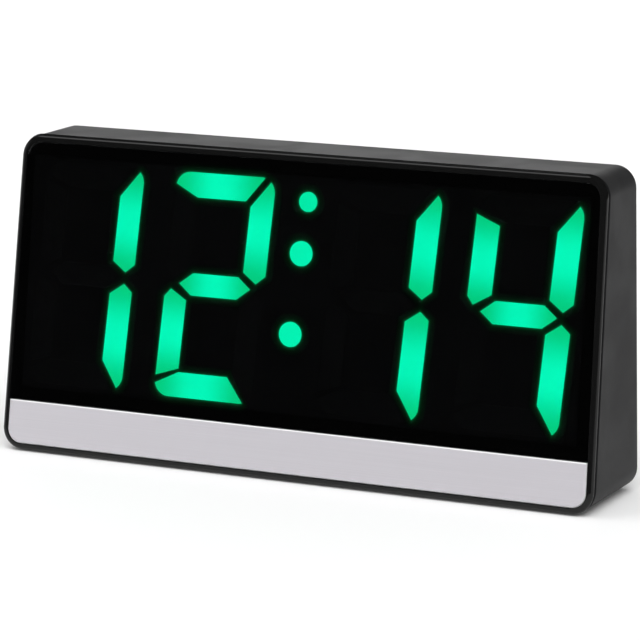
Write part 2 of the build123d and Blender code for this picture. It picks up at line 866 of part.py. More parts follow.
with BuildPart() as battery_cells:
    for bay_middle, row_z, nub_side in cell_ends:
        nub_tip = bay_middle + nub_side * (half_bay / 2 - plate_thickness)
        with BuildSketch(Plane.YZ.offset(nub_tip - nub_side * nub_length)):
            with Locations((cell_y, row_z)):
                Circle(cell_radius)
        extrude(amount=-nub_side * (cell_length - nub_length))
        with BuildSketch(Plane.YZ.offset(nub_tip)):
            with Locations((cell_y, row_z)):
                Circle(nub_diameter / 2)
        extrude(amount=-nub_side * nub_length)
    rims = battery_cells.edges().filter_by(GeomType.CIRCLE)
    fillet(rims.filter_by(lambda rim: math.isclose(rim.radius, cell_radius)), cell_edge_radius)
battery_cells.part.label = "battery_cells"
export_step(battery_cells.part, "parts/battery_cells.step")

with BuildPart() as positive_contacts:
    for bay_middle, row_z, nub_side in cell_ends:
        with BuildSketch(Plane.YZ.offset(bay_middle + nub_side * half_bay / 2)):
            with Locations((cell_y, row_z)):
                Rectangle(plate_size, plate_size)
        extrude(amount=-nub_side * plate_thickness)
positive_contacts.part.label = "positive_contacts"
export_step(positive_contacts.part, "parts/positive_contacts.step")

# Bowed leaf contacts that press on the flat ends of the cells
with BuildPart() as spring_contacts:
    for bay_middle, row_z, nub_side in cell_ends:
        foot_x_place = bay_middle - nub_side * half_bay / 2
        crown_x = foot_x_place + nub_side * (leaf_reach - plate_thickness)
        near_x = foot_x_place + nub_side * plate_thickness
        leaf_half = plate_size / 2
        with BuildSketch(Plane.XY.offset(row_z - leaf_width / 2)):
            with BuildLine():
                ThreePointArc((near_x, cell_y - leaf_half), (crown_x, cell_y), (near_x, cell_y + leaf_half))
                outer_x = crown_x + nub_side * plate_thickness
                outer_half = leaf_half + plate_thickness
                Line((near_x, cell_y + leaf_half), (near_x, cell_y + outer_half))
                arc_ends = (near_x, cell_y + outer_half), (near_x, cell_y - outer_half)
                ThreePointArc(arc_ends[0], (outer_x, cell_y), arc_ends[1])
                Line((near_x, cell_y - outer_half), (near_x, cell_y - leaf_half))
            make_face()
        extrude(amount=leaf_width)
        with BuildSketch(Plane.YZ.offset(foot_x_place)):
            with Locations((cell_y, row_z)):
                Rectangle(plate_size + 2 * plate_thickness, leaf_width)
        extrude(amount=nub_side * plate_thickness)
spring_contacts.part.label = "spring_contacts"
export_step(spring_contacts.part, "parts/spring_contacts.step")

# Battery door with its two tabs and its springy latch
with BuildPart() as battery_door:
    with BuildSketch(upright(rear_y)):
        with Locations((0, bay_z)):
            RectangleRounded(pocket_width - 2 * door_gap, door_high - door_low, door_corner_radius)
        slot_across = (latch_width + latch_slot) / 2
        with Locations((-slot_across, door_high), (slot_across, door_high)):
            Rectangle(latch_slot, latch_length, align=(Align.CENTER, Align.MAX), mode=Mode.SUBTRACT)
    extrude(amount=door_thickness)
    with BuildSketch(upright(rear_y)):
        with Locations((0, door_high - latch_length)):
            Rectangle(latch_width, latch_length + latch_rise, align=(Align.CENTER, Align.MIN))
    extrude(amount=latch_tip_thickness)
    with BuildSketch(upright(rear_y)):
        grip_rows = [door_high - latch_length / 2 + place for place in spread(grip_count, grip_pitch)]
        with Locations(*[(0, grip_z) for grip_z in grip_rows]):
            Rectangle(latch_width - 2 * latch_slot, grip_width)
    extrude(amount=grip_depth, mode=Mode.SUBTRACT)
    with BuildSketch(upright(tab_outer_y)):
        with Locations(*[(x, door_low - tab_drop) for x in tab_places]):
            Rectangle(tab_width, tab_drop + tab_root, align=(Align.CENTER, Align.MIN))
    extrude(amount=tab_thickness)
    with BuildSketch(upright(door_seat_y)):
        with Locations(*[(x, door_low) for x in tab_places]):
            Rectangle(tab_width, tab_root, align=(Align.CENTER, Align.MIN))
    extrude(amount=door_seat_y - tab_inner_y)
battery_door.part.label = "battery_door"
export_step(battery_door.part, "parts/battery_door.step")

# Push buttons: a cap through the panel, a flange behind it, and the plunger that it presses
cap_y = panel_floor_y + button_proud
for name, place in zip(button_names, button_places):
    with BuildPart() as push_button:
        with BuildSketch(upright(cap_y)):
            with Locations(place):
                SlotOverall(button_length, button_height)
        extrude(amount=cap_y - flange_outer_y)
        fillet(push_button.faces().sort_by(Axis.Y)[-1].edges(), button_edge_radius)
        with BuildSketch(upright(flange_outer_y)):
            with Locations(place):
                SlotOverall(button_length + 2 * flange_rim, button_height + 2 * flange_rim)
        extrude(amount=flange_thickness)
    push_button.part.label = name
    export_step(push_button.part, f"parts/{name}.step")

    with BuildPart() as plunger:
        with BuildSketch(upright(flange_inner_y)):
            with Locations(place):
                Circle(plunger_diameter / 2)
        extrude(amount=plunger_length + plunger_root)
    plunger_name = name.replace("button", "plunger")
    plunger.part.label = plunger_name
    export_step(plunger.part, f"parts/{plunger_name}.step")

with BuildPart() as tact_switches:
    with BuildSketch(upright(tact_top_y)):
        with Locations(*button_places):
            Rectangle(tact_size, tact_size)
    extrude(amount=tact_height)
    with BuildSketch(upright(tact_top_y)):
        with Locations(*button_places):
            Circle(plunger_diameter / 2 + plunger_gap)
    extrude(amount=plunger_root + button_travel + fit_gap, mode=Mode.SUBTRACT)
tact_switches.part.label = "tact_switches"
export_step(tact_switches.part, "parts/tact_switches.step")

# Slide switch: its body on the board, and the knob whose lever enters it
slide_flange_inner_y = flange_outer_y - slide_flange_thickness
lever_tip_y = tact_top_y - lever_dip
with BuildPart() as slide_switch:
    with BuildSketch(upright(tact_top_y)):
        with Locations((slide_middle, control_z)):
            Rectangle(slide_body_length, slide_body_height)
    extrude(amount=tact_height)
    with BuildSketch(upright(tact_top_y)):
        with Locations((slide_middle, control_z)):
            Rectangle(lever_size + slide_travel + 2 * slide_gap, lever_size + 2 * slide_gap)
    extrude(amount=lever_dip + slide_gap, mode=Mode.SUBTRACT)
slide_switch.part.label = "slide_switch"
export_step(slide_switch.part, "parts/slide_switch.step")

with BuildPart() as slide_knob:
    with BuildSketch(upright(cap_y)):
        with Locations((slide_across, control_z)):
            Rectangle(grip_length, grip_height)
    extrude(amount=cap_y - flange_outer_y)
    with BuildSketch(upright(cap_y)):
        with Locations(*[(slide_across + place, control_z) for place in spread(rib_count, rib_pitch)]):
            Rectangle(rib_width, grip_height)
    extrude(amount=rib_depth, mode=Mode.SUBTRACT)
    with BuildSketch(upright(flange_outer_y)):
        with Locations((slide_across, control_z)):
            Rectangle(slide_flange_length, slide_flange_height)
    extrude(amount=slide_flange_thickness)
    with BuildSketch(upright(slide_flange_inner_y)):
        with Locations((slide_across, control_z)):
            Rectangle(lever_size, lever_size)
    extrude(amount=slide_flange_inner_y - lever_tip_y)
slide_knob.part.label = "slide_knob"
export_step(slide_knob.part, "parts/slide_knob.step")

# Power socket: a stamped shell round a tongue
socket_mouth_y = panel_floor_y - socket_set_back
with BuildPart() as power_socket:
    with BuildSketch(upright(socket_mouth_y)):
        with Locations((socket_across, control_z)):
            SlotOverall(socket_width, socket_height)
    extrude(amount=socket_mouth_y - control_back_y)
    with BuildSketch(upright(socket_mouth_y)):
        with Locations((socket_across, control_z)):
            SlotOverall(socket_width - 2 * socket_shell, socket_height - 2 * socket_shell)
    extrude(amount=socket_mouth_y - control_back_y - socket_base, mode=Mode.SUBTRACT)
    with BuildSketch(upright(socket_mouth_y - socket_tongue_set_back)):
        with Locations((socket_across, control_z)):
            Rectangle(socket_tongue_width, socket_tongue_thickness)
    extrude(amount=socket_mouth_y - socket_tongue_set_back - control_back_y)
power_socket.part.label = "power_socket"
export_step(power_socket.part, "parts/power_socket.step")

with BuildPart() as buzzer:
    with BuildSketch(upright(control_back_y + buzzer_height)):
        with Locations((buzzer_across, control_z)):
            Circle(buzzer_diameter / 2)
    extrude(amount=buzzer_height)
    with BuildSketch(upright(control_back_y + buzzer_height)):
        with Locations((buzzer_across, control_z)):
            Circle(buzzer_mouth_diameter / 2)
    extrude(amount=buzzer_mouth_depth, mode=Mode.SUBTRACT)
buzzer.part.label = "buzzer"
export_step(buzzer.part, "parts/buzzer.step")

# Control board and the screws that hold it to its posts
with BuildPart() as control_board:
    with BuildSketch(upright(control_back_y)):
        with Locations((control_board_middle, control_z)):
            Rectangle(control_board_length, control_board_height)
        with Locations(*control_posts):
            Circle(board_shank_diameter / 2 + screw_gap, mode=Mode.SUBTRACT)
    extrude(amount=control_board_thickness)
control_board.part.label = "control_board"
export_step(control_board.part, "parts/control_board.step")

with BuildPart() as control_screws:
    with BuildSketch(upright(control_front_y)):
        with Locations(*control_posts):
            Circle(board_head_diameter / 2)
    extrude(amount=board_head_height)
    with BuildSketch(upright(control_front_y)):
        with Locations(*control_posts):
            Circle(board_shank_diameter / 2)
    extrude(amount=-board_shank_length)
control_screws.part.label = "control_screws"
export_step(control_screws.part, "parts/control_screws.step")

# Ribbon cable: out of the control board, down, and square into the display board
ribbon_z = control_z - control_board_height / 2 + ribbon_edge
ribbon_y = control_front_y - ribbon_reach
ribbon_low = ribbon_z - ribbon_drop
ribbon_run = (ribbon_y - face_y(board_back, ribbon_low)) * math.cos(lean)
ribbon_end = (ribbon_y - ribbon_run * math.cos(lean), ribbon_low + ribbon_run * math.sin(lean))
with BuildPart() as ribbon_cable:
    with BuildSketch(Plane.YZ.offset(ribbon_across)):
        with BuildLine():
            FilletPolyline(
                (control_front_y, ribbon_z),
                (ribbon_y, ribbon_z),
                (ribbon_y, ribbon_low),
                ribbon_end,
                radius=ribbon_bend_radius,
            )
        trace(line_width=ribbon_thickness)
    extrude(amount=ribbon_width)
ribbon_cable.part.label = "ribbon_cable"
export_step(ribbon_cable.part, "parts/ribbon_cable.step")

# Battery leads: from the top of the bay up to the control board
lead_y = control_front_y - lead_stand_off
lead_high = control_z - control_board_height / 2 + lead_edge
for name, lead_x in (("positive_lead", -lead_across), ("negative_lead", lead_spacing - lead_across)):
    with BuildPart() as lead:
        with BuildLine() as route:
            FilletPolyline(
                (lead_x, lead_y, bay_top),
                (lead_x, lead_y, lead_high),
                (lead_x, control_front_y, lead_high),
                radius=lead_bend_radius,
            )
        with BuildSketch(Plane(origin=(lead_x, lead_y, bay_top), z_dir=(0, 0, 1))):
            Circle(lead_diameter / 2)
        sweep()
    lead.part.label = name
    export_step(lead.part, f"parts/{name}.step")
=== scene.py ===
# %% [markdown]
# A digital desk clock, dressed for its portrait
#
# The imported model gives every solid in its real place, in metres: X runs to the right seen from the
# front, Y to the back and Z up, with the table at zero. This lesson gives those solids their
# finishes, models the pieces that need finer forms than the solids have, and sets up a small studio.

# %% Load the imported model
import math

import bpy
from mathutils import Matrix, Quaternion, Vector


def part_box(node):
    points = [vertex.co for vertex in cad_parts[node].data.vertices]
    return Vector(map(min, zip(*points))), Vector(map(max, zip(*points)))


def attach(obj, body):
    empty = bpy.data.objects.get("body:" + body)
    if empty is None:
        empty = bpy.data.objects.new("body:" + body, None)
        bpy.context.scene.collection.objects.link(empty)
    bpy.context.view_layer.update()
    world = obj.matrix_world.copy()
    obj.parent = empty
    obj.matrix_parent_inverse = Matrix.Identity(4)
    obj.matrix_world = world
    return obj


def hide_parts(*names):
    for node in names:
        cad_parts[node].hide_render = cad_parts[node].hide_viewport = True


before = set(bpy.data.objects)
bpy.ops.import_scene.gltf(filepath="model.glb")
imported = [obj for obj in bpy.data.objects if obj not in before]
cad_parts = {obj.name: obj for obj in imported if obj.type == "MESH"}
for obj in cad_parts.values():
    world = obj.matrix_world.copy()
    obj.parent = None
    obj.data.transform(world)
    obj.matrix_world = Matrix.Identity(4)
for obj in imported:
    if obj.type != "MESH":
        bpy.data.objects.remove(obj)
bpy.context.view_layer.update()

# %% [markdown]
# Working habits
#
# Operators act on whatever is selected, so every step starts by selecting one piece alone. A solid
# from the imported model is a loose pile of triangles. Its copy is merged first, so that edges are
# shared, and then it can be bevelled and shaded smooth over its roundings like a hand-made mesh.

# %% Selecting, copying and finishing pieces
MM = 0.001
MERGE_DISTANCE = 0.002 * MM
SMOOTH_ANGLE = math.radians(32)
SHARP_ANGLE = math.radians(40)
FLAT_ANGLE = math.radians(0.5)
OUTER_FACE = 0.001 * MM
FLAT = 0.99999


def pick(piece):
    """Selects one piece alone and makes it active."""
    bpy.ops.object.select_all(action="DESELECT")
    piece.select_set(True)
    bpy.context.view_layer.objects.active = piece


def copy_node(node, name):
    """A merged copy of one solid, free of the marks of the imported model."""
    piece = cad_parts[node].copy()
    piece.data = piece.data.copy()
    piece.name = name
    piece.data.name = name
    for mark in list(piece.keys()):
        del piece[mark]
    piece.parent = None
    bpy.context.scene.collection.objects.link(piece)
    pick(piece)
    bpy.ops.mesh.customdata_custom_splitnormals_clear()
    bpy.ops.object.mode_set(mode="EDIT")
    bpy.ops.mesh.select_all(action="SELECT")
    bpy.ops.mesh.remove_doubles(threshold=MERGE_DISTANCE)
    bpy.ops.object.mode_set(mode="OBJECT")
    return piece


def select_faces(piece, wanted):
    """Selects the faces of the active piece for which wanted(centre, normal) holds."""
    bpy.ops.object.mode_set(mode="EDIT")
    bpy.ops.mesh.select_mode(type="FACE")
    bpy.ops.mesh.select_all(action="DESELECT")
    bpy.ops.object.mode_set(mode="OBJECT")
    for face in piece.data.polygons:
        face.select = wanted(face.center, face.normal)
    bpy.ops.object.mode_set(mode="EDIT")


def smooth(piece):
    """Shades a piece smooth, except across its sharp edges, and keeps its large faces flat."""
    pick(piece)
    bpy.ops.object.shade_smooth_by_angle(angle=SMOOTH_ANGLE)
    apply(piece, "WEIGHTED_NORMAL", keep_sharp=True)


def flatten(piece):
    """Makes one face of the triangles of each flat face."""
    pick(piece)
    bpy.ops.object.mode_set(mode="EDIT")
    bpy.ops.mesh.select_all(action="SELECT")
    bpy.ops.mesh.dissolve_limited(angle_limit=FLAT_ANGLE)
    bpy.ops.object.mode_set(mode="OBJECT")


def apply(piece, kind, **settings):
    """Adds a modifier with its settings to a piece, and applies it."""
    pick(piece)
    step = piece.modifiers.new(kind.lower(), kind)
    for setting, value in settings.items():
        setattr(step, setting, value)
    bpy.ops.object.modifier_apply(modifier=step.name)


def round_edges(piece, width):
    """Rounds the sharp edges of a piece a little."""
    flatten(piece)
    apply(piece, "BEVEL", width=width, segments=2, limit_method="ANGLE", angle_limit=SHARP_ANGLE)


def break_edges(piece, on_edge, width):
    """Breaks the sharp edges whose two ends pass a test."""
    pick(piece)
    bpy.ops.object.mode_set(mode="EDIT")
    bpy.ops.mesh.select_mode(type="EDGE")
    bpy.ops.mesh.select_all(action="DESELECT")
    bpy.ops.mesh.edges_select_sharp(sharpness=SHARP_ANGLE)
    bpy.ops.object.mode_set(mode="OBJECT")
    points = piece.data.vertices
    for edge in piece.data.edges:
        edge.select = edge.select and all(on_edge(points[end]) for end in edge.vertices)
    bpy.ops.object.mode_set(mode="EDIT")
    bpy.ops.mesh.bevel(offset=width, segments=2, affect="EDGES", loop_slide=False, clamp_overlap=True)
    bpy.ops.object.mode_set(mode="OBJECT")


def join(pieces):
    """Joins pieces into the first of them."""
    pick(pieces[0])
    for piece in pieces:
        piece.select_set(True)
    bpy.ops.object.join()
    return pieces[0]


def seat(piece, finish, body, slot, *nodes):
    """Gives a finished piece its material and its body, and hides the solids that it stands for. The slot is
    not used.
    """
    piece.data.materials.clear()
    piece.data.materials.append(finish)
    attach(piece, body)
    if nodes:
        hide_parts(*nodes)
    print(piece.name, len(piece.data.vertices), "vertices, on", body)


# %% [markdown]
# Patterns that several finishes share
#
# Moulded plastic shows the fine grain of its mould, and everything that is handled has faint smears
# that change its gloss. Both are node groups, built once and placed in each material with their own
# values. They read Object coordinates, so that a pattern stays on its piece when the piece moves.

# %% Node helpers and the two shared groups
TONE_SHARE = 0.04
FINE_DETAIL = 3.0
TONE_DETAIL = 2.0
SMEAR_DETAIL = 5.0
SMEAR_DISTORTION = 0.6
SMEAR_RANGE = (0.42, 0.72)


def place(tree, kind, inputs=None, **settings):
    """Adds a node, sets its settings, and fills its inputs with values or with other nodes' outputs."""
    node = tree.nodes.new(kind)
    for setting, value in settings.items():
        setattr(node, setting, value)
    for socket, value in (inputs or {}).items():
        if isinstance(value, bpy.types.NodeSocket):
            tree.links.new(value, node.inputs[socket])
        else:
            node.inputs[socket].default_value = value
    return node


def new_group(name, inputs, outputs):
    """An empty shader group with number sockets."""
    group = bpy.data.node_groups.new(name, "ShaderNodeTree")
    for socket in inputs:
        group.interface.new_socket(socket, in_out="INPUT", socket_type="NodeSocketFloat")
    for socket in outputs:
        group.interface.new_socket(socket, in_out="OUTPUT", socket_type="NodeSocketFloat")
    return group, place(group, "NodeGroupInput"), place(group, "NodeGroupOutput")


def make_mould_grain():
    """Group: grain of a spark-eroded mould, as a height and as a slower change of tone."""
    group, start, result = new_group("mould_grain", ["Grains per metre"], ["Height", "Tone"])
    where = place(group, "ShaderNodeTexCoord").outputs["Object"]
    scale = start.outputs["Grains per metre"]
    fine = place(group, "ShaderNodeTexNoise", {"Vector": where, "Scale": scale, "Detail": FINE_DETAIL})
    slower = place(group, "ShaderNodeMath", {0: scale, 1: TONE_SHARE}, operation="MULTIPLY").outputs[0]
    broad = place(group, "ShaderNodeTexNoise", {"Vector": where, "Scale": slower, "Detail": TONE_DETAIL})
    group.links.new(fine.outputs["Fac"], result.inputs["Height"])
    group.links.new(broad.outputs["Fac"], result.inputs["Tone"])
    return group


def make_handling():
    """Group: mask of the smears and dust that handling leaves, from 0 to 1."""
    group, start, result = new_group("handling", ["Smears per metre"], ["Mask"])
    where = place(group, "ShaderNodeTexCoord").outputs["Object"]
    scale = start.outputs["Smears per metre"]
    given = {"Vector": where, "Scale": scale, "Detail": SMEAR_DETAIL, "Distortion": SMEAR_DISTORTION}
    smear = place(group, "ShaderNodeTexNoise", given).outputs["Fac"]
    given = {"Value": smear, "From Min": SMEAR_RANGE[0], "From Max": SMEAR_RANGE[1]}
    mask = place(group, "ShaderNodeMapRange", given)
    group.links.new(mask.outputs["Result"], result.inputs["Mask"])
    return group


MOULD_GRAIN = make_mould_grain()
HANDLING = make_handling()
print("groups:", MOULD_GRAIN.name, HANDLING.name)

# %% [markdown]
# Plastics and metals
#
# Most of the clock is moulded plastic that differs in colour, gloss and grain, so one function
# makes them all. The metals are made the same way, with fine scratches in place of the grain.

# %% Functions for plastics and metals
GRAIN_DEPTH = 0.12 * MM
SCRATCH_DEPTH = 0.03 * MM
PLASTIC_SMEARS = 45.0
SCRATCH_DETAIL = 4.0


def new_finish(name):
    """A material with its node tree and its shader."""
    finish = bpy.data.materials.new(name)
    finish.use_nodes = True
    return finish, finish.node_tree, finish.node_tree.nodes["Principled BSDF"]


def span(tree, value, low, high):
    """Maps a mask from 0 to 1 onto a range of numbers."""
    given = {"Value": value, "To Min": low, "To Max": high}
    return place(tree, "ShaderNodeMapRange", given).outputs["Result"]


def tint(tree, value, first, second):
    """Mixes two colours by a mask."""
    mix = place(tree, "ShaderNodeMix", data_type="RGBA")
    tree.links.new(value, mix.inputs["Factor"])
    mix.inputs[6].default_value = (*first, 1)
    mix.inputs[7].default_value = (*second, 1)
    return mix.outputs[2]


def raise_bump(tree, shader, height, strength, depth):
    """Bends the shader's normal by a height pattern of that depth in metres."""
    bump = place(tree, "ShaderNodeBump", {"Height": height, "Strength": strength, "Distance": depth})
    tree.links.new(bump.outputs["Normal"], shader.inputs["Normal"])


def moulded_plastic(name, dark, light, gloss, grains, strength, shine=0.5):
    """Plastic with a mould grain: two close tones, a range of roughness, a bump and a shine."""
    finish, tree, shader = new_finish(name)
    shader.inputs["Specular IOR Level"].default_value = shine
    grain = place(tree, "ShaderNodeGroup", node_tree=MOULD_GRAIN)
    grain.inputs["Grains per metre"].default_value = grains
    handled = place(tree, "ShaderNodeGroup", node_tree=HANDLING)
    handled.inputs["Smears per metre"].default_value = PLASTIC_SMEARS
    tree.links.new(tint(tree, grain.outputs["Tone"], dark, light), shader.inputs["Base Color"])
    tree.links.new(span(tree, handled.outputs["Mask"], *gloss), shader.inputs["Roughness"])
    raise_bump(tree, shader, grain.outputs["Height"], strength, GRAIN_DEPTH)
    return finish


def drawn_lines(tree, stretch):
    """A pattern of fine lines, drawn out by the stretch along each axis."""
    where = place(tree, "ShaderNodeTexCoord").outputs["Object"]
    drawn = place(tree, "ShaderNodeMapping", {"Vector": where, "Scale": stretch}).outputs["Vector"]
    given = {"Vector": drawn, "Scale": 1.0, "Detail": SCRATCH_DETAIL}
    return place(tree, "ShaderNodeTexNoise", given).outputs["Fac"]


def drawn_metal(name, dark, light, gloss, stretch, strength):
    """Metal with fine scratches, drawn out by the stretch along each axis."""
    finish, tree, shader = new_finish(name)
    lines = drawn_lines(tree, stretch)
    tree.links.new(tint(tree, lines, dark, light), shader.inputs["Base Color"])
    tree.links.new(span(tree, lines, *gloss), shader.inputs["Roughness"])
    raise_bump(tree, shader, lines, strength, SCRATCH_DEPTH)
    shader.inputs["Metallic"].default_value = 1.0
    return finish


case_black = moulded_plastic(
    "case_black", (0.008, 0.008, 0.0086), (0.0115, 0.0115, 0.0122), (0.50, 0.58), 2600.0, 0.30, 0.20)
bezel_black = moulded_plastic(
    "bezel_black", (0.0050, 0.0050, 0.0050), (0.0065, 0.0065, 0.0065), (0.08, 0.14), 900.0, 0.03, 0.28)
button_black = moulded_plastic(
    "button_black", (0.014, 0.014, 0.015), (0.020, 0.020, 0.021), (0.32, 0.42), 3200.0, 0.2)
reflector_black = moulded_plastic(
    "reflector_black", (0.004, 0.004, 0.004), (0.006, 0.006, 0.006), (0.6, 0.75), 1500.0, 0.1)
segment_grey = moulded_plastic(
    "segment_grey", (0.010, 0.011, 0.010), (0.014, 0.015, 0.014), (0.5, 0.6), 1200.0, 0.05)
foot_rubber = moulded_plastic(
    "foot_rubber", (0.012, 0.012, 0.012), (0.022, 0.022, 0.021), (0.78, 0.92), 1800.0, 0.4)
switch_black = moulded_plastic(
    "switch_black", (0.015, 0.015, 0.015), (0.024, 0.024, 0.024), (0.45, 0.55), 2000.0, 0.1)
plunger_white = moulded_plastic(
    "plunger_white", (0.62, 0.60, 0.55), (0.70, 0.68, 0.63), (0.4, 0.5), 1500.0, 0.1)
chip_black = moulded_plastic(
    "chip_black", (0.012, 0.012, 0.013), (0.03, 0.03, 0.03), (0.55, 0.7), 3000.0, 0.2)
led_cream = moulded_plastic(
    "led_cream", (0.72, 0.70, 0.58), (0.80, 0.78, 0.68), (0.3, 0.4), 2500.0, 0.05)
ribbon_grey = moulded_plastic(
    "ribbon_grey", (0.30, 0.30, 0.31), (0.38, 0.38, 0.39), (0.4, 0.5), 1500.0, 0.1)
lead_red = moulded_plastic(
    "lead_red", (0.42, 0.015, 0.012), (0.50, 0.025, 0.02), (0.35, 0.45), 1500.0, 0.05)
lead_black = moulded_plastic(
    "lead_black", (0.010, 0.010, 0.010), (0.018, 0.018, 0.018), (0.35, 0.45), 1500.0, 0.05)
print_white = moulded_plastic(
    "print_white", (0.58, 0.58, 0.57), (0.66, 0.66, 0.65), (0.5, 0.6), 4000.0, 0.1)
can_metal = drawn_metal(
    "can_metal", (0.60, 0.60, 0.58), (0.72, 0.72, 0.70), (0.22, 0.34), (400.0, 2600.0, 400.0), 0.1)
screw_steel = drawn_metal(
    "screw_steel", (0.42, 0.42, 0.43), (0.58, 0.58, 0.59), (0.28, 0.44), (1800.0, 1800.0, 1800.0), 0.15)
contact_nickel = drawn_metal(
    "contact_nickel", (0.62, 0.60, 0.55), (0.74, 0.72, 0.67), (0.18, 0.32), (300.0, 2200.0, 300.0), 0.08)
socket_steel = drawn_metal(
    "socket_steel", (0.56, 0.56, 0.57), (0.68, 0.68, 0.69), (0.22, 0.36), (300.0, 300.0, 2600.0), 0.1)
print("finishes:", len(bpy.data.materials))

# %% [markdown]
# The smoked window
#
# The window is dark acrylic: it lets about a third of the light through, so the lit segments show
# and the unlit ones vanish. A real transmitting shader does this from every side, where painted
# black would only work from the front. Faint smears change its gloss a little.

# %% Smoked acrylic
SMOKE = (0.30, 0.31, 0.32)
ACRYLIC_INDEX = 1.49
ACRYLIC_GLOSS = (0.012, 0.045)
WINDOW_SMEARS = 38.0
DUST_LIGHTENS = 1.06


def make_smoked_acrylic():
    """Dark clear plastic."""
    finish, tree, shader = new_finish("smoked_acrylic")
    handled = place(tree, "ShaderNodeGroup", node_tree=HANDLING)
    handled.inputs["Smears per metre"].default_value = WINDOW_SMEARS
    tree.links.new(span(tree, handled.outputs["Mask"], *ACRYLIC_GLOSS), shader.inputs["Roughness"])
    dusty = [share * DUST_LIGHTENS for share in SMOKE]
    tree.links.new(tint(tree, handled.outputs["Mask"], SMOKE, dusty), shader.inputs["Base Color"])
    shader.inputs["IOR"].default_value = ACRYLIC_INDEX
    shader.inputs["Transmission Weight"].default_value = 1.0
    return finish


smoked_acrylic = make_smoked_acrylic()
print("window:", smoked_acrylic.name)

# %% [markdown]
# The silver strip
#
# The strip is satin aluminium with a bright-cut edge all round. Its brushing runs along it, so the noise is
# stretched along X. A number on the faces of the cut edge makes them smoother, and also near white, which is
# a painted highlight of the light that the cut edge mirrors.

# %% Brushed silver with a painted highlight on its cut edge
STRIP_DARK = (0.63, 0.607, 0.648)
STRIP_LIGHT = (0.715, 0.692, 0.733)
STRIP_EDGE_HIGHLIGHT = (0.97, 0.97, 0.98)
STRIP_BRUSHING = (14.0, 5200.0, 5200.0)
STRIP_GLOSS = (0.40, 0.52)
STRIP_EDGE_GLOSS = 0.30
STRIP_BUMP = 0.2
STRIP_METAL = 0.30


def make_strip_silver():
    """Satin metal, brushed along its length, with its bevelled edges smoother and painted near white as a
    highlight.
    """
    finish, tree, shader = new_finish("strip_silver")
    lines = drawn_lines(tree, STRIP_BRUSHING)
    bright = place(tree, "ShaderNodeAttribute", attribute_name="bright").outputs["Fac"]
    brushed = tint(tree, lines, STRIP_DARK, STRIP_LIGHT)
    # The cut edge's faces take a near-white colour: a painted highlight.
    cut = place(tree, "ShaderNodeMix", {"Factor": bright, 6: brushed, 7: (*STRIP_EDGE_HIGHLIGHT, 1)}, data_type="RGBA")
    tree.links.new(cut.outputs[2], shader.inputs["Base Color"])
    gloss = {"Factor": bright, "A": span(tree, lines, *STRIP_GLOSS), "B": STRIP_EDGE_GLOSS}
    worn = place(tree, "ShaderNodeMix", gloss)
    tree.links.new(worn.outputs["Result"], shader.inputs["Roughness"])
    raise_bump(tree, shader, lines, STRIP_BUMP, SCRATCH_DEPTH)
    shader.inputs["Metallic"].default_value = STRIP_METAL
    return finish


strip_silver = make_strip_silver()
print("strip:", strip_silver.name)

# %% [markdown]
# Light in the segments
#
# Behind each lit segment sit two light sources, so a segment is brightest and coolest in its middle
# and falls off to a deeper green at its ends. Each segment carries a number that runs from -1 to 1
# along its length. It is linear, so the shader can turn it into a smooth glow on very few faces.
# The film over the segments scatters a little of their light past their edges. That fringe is see
# through, and its own number fades it out from its inner edge to its outer edge.

# %% Glowing diffuser and its fringe
GLOW_STRENGTH = 3.2
GLOW_MIDDLE = (0.0, 1.0, 0.50)
GLOW_END = (0.0, 0.64, 0.215)
GLOW_FALL = (0.10, 0.95)
DIFFUSER_MIDDLE = (0.004, 0.03, 0.02)
DIFFUSER_END = (0.002, 0.02, 0.012)
DIFFUSER_GLOSS = 0.5
FRINGE_NEAR = 0.09
FRINGE_FALL = 8.0
FRINGE_FAR = 0.0065
FRINGE_COLOUR = (0.0, 0.60, 0.14)
FRINGE_BASE = (0.0, 0.01, 0.004)
FRINGE_GLOSS = 0.6


def make_glowing_diffuser():
    """Lit plastic: bright in the middle of a segment, and deeper green at its ends."""
    finish, tree, shader = new_finish("glowing_diffuser")
    along = place(tree, "ShaderNodeAttribute", attribute_name="along").outputs["Fac"]
    distance = place(tree, "ShaderNodeMath", {0: along}, operation="ABSOLUTE").outputs[0]
    ends = {"Value": distance, "From Min": GLOW_FALL[0], "From Max": GLOW_FALL[1]}
    fall = place(tree, "ShaderNodeMapRange", ends, interpolation_type="SMOOTHSTEP").outputs["Result"]
    tree.links.new(tint(tree, fall, GLOW_MIDDLE, GLOW_END), shader.inputs["Emission Color"])
    shader.inputs["Emission Strength"].default_value = GLOW_STRENGTH
    tree.links.new(tint(tree, fall, DIFFUSER_MIDDLE, DIFFUSER_END), shader.inputs["Base Color"])
    shader.inputs["Roughness"].default_value = DIFFUSER_GLOSS
    return finish


def make_glow_fringe():
    """Scattered light that fades out round a segment."""
    finish, tree, shader = new_finish("glow_fringe")
    fringe = place(tree, "ShaderNodeAttribute", attribute_name="fringe").outputs["Fac"]
    near = place(tree, "ShaderNodeMath", {0: fringe, 1: FRINGE_FALL}, operation="POWER").outputs[0]
    near = place(tree, "ShaderNodeMath", {0: near, 1: FRINGE_NEAR}, operation="MULTIPLY").outputs[0]
    spill = {0: fringe, 1: FRINGE_FAR, 2: near}
    spill = place(tree, "ShaderNodeMath", spill, operation="MULTIPLY_ADD").outputs[0]
    tree.links.new(spill, shader.inputs["Alpha"])
    shader.inputs["Emission Color"].default_value = (*FRINGE_COLOUR, 1)
    shader.inputs["Emission Strength"].default_value = GLOW_STRENGTH
    shader.inputs["Base Color"].default_value = (*FRINGE_BASE, 1)
    shader.inputs["Roughness"].default_value = FRINGE_GLOSS
    return finish


glowing_diffuser = make_glowing_diffuser()
glow_fringe = make_glow_fringe()
print("glow:", glowing_diffuser.name, glow_fringe.name)

# %% [markdown]
# Battery cells
#
# A plain dry cell has a printed sleeve: dark, with a pale band at its positive end, and bare metal
# at both ends. Each cell carries a number from -1 at its flat end to 1 at its nub, and the steps of
# the sleeve are set along that number.

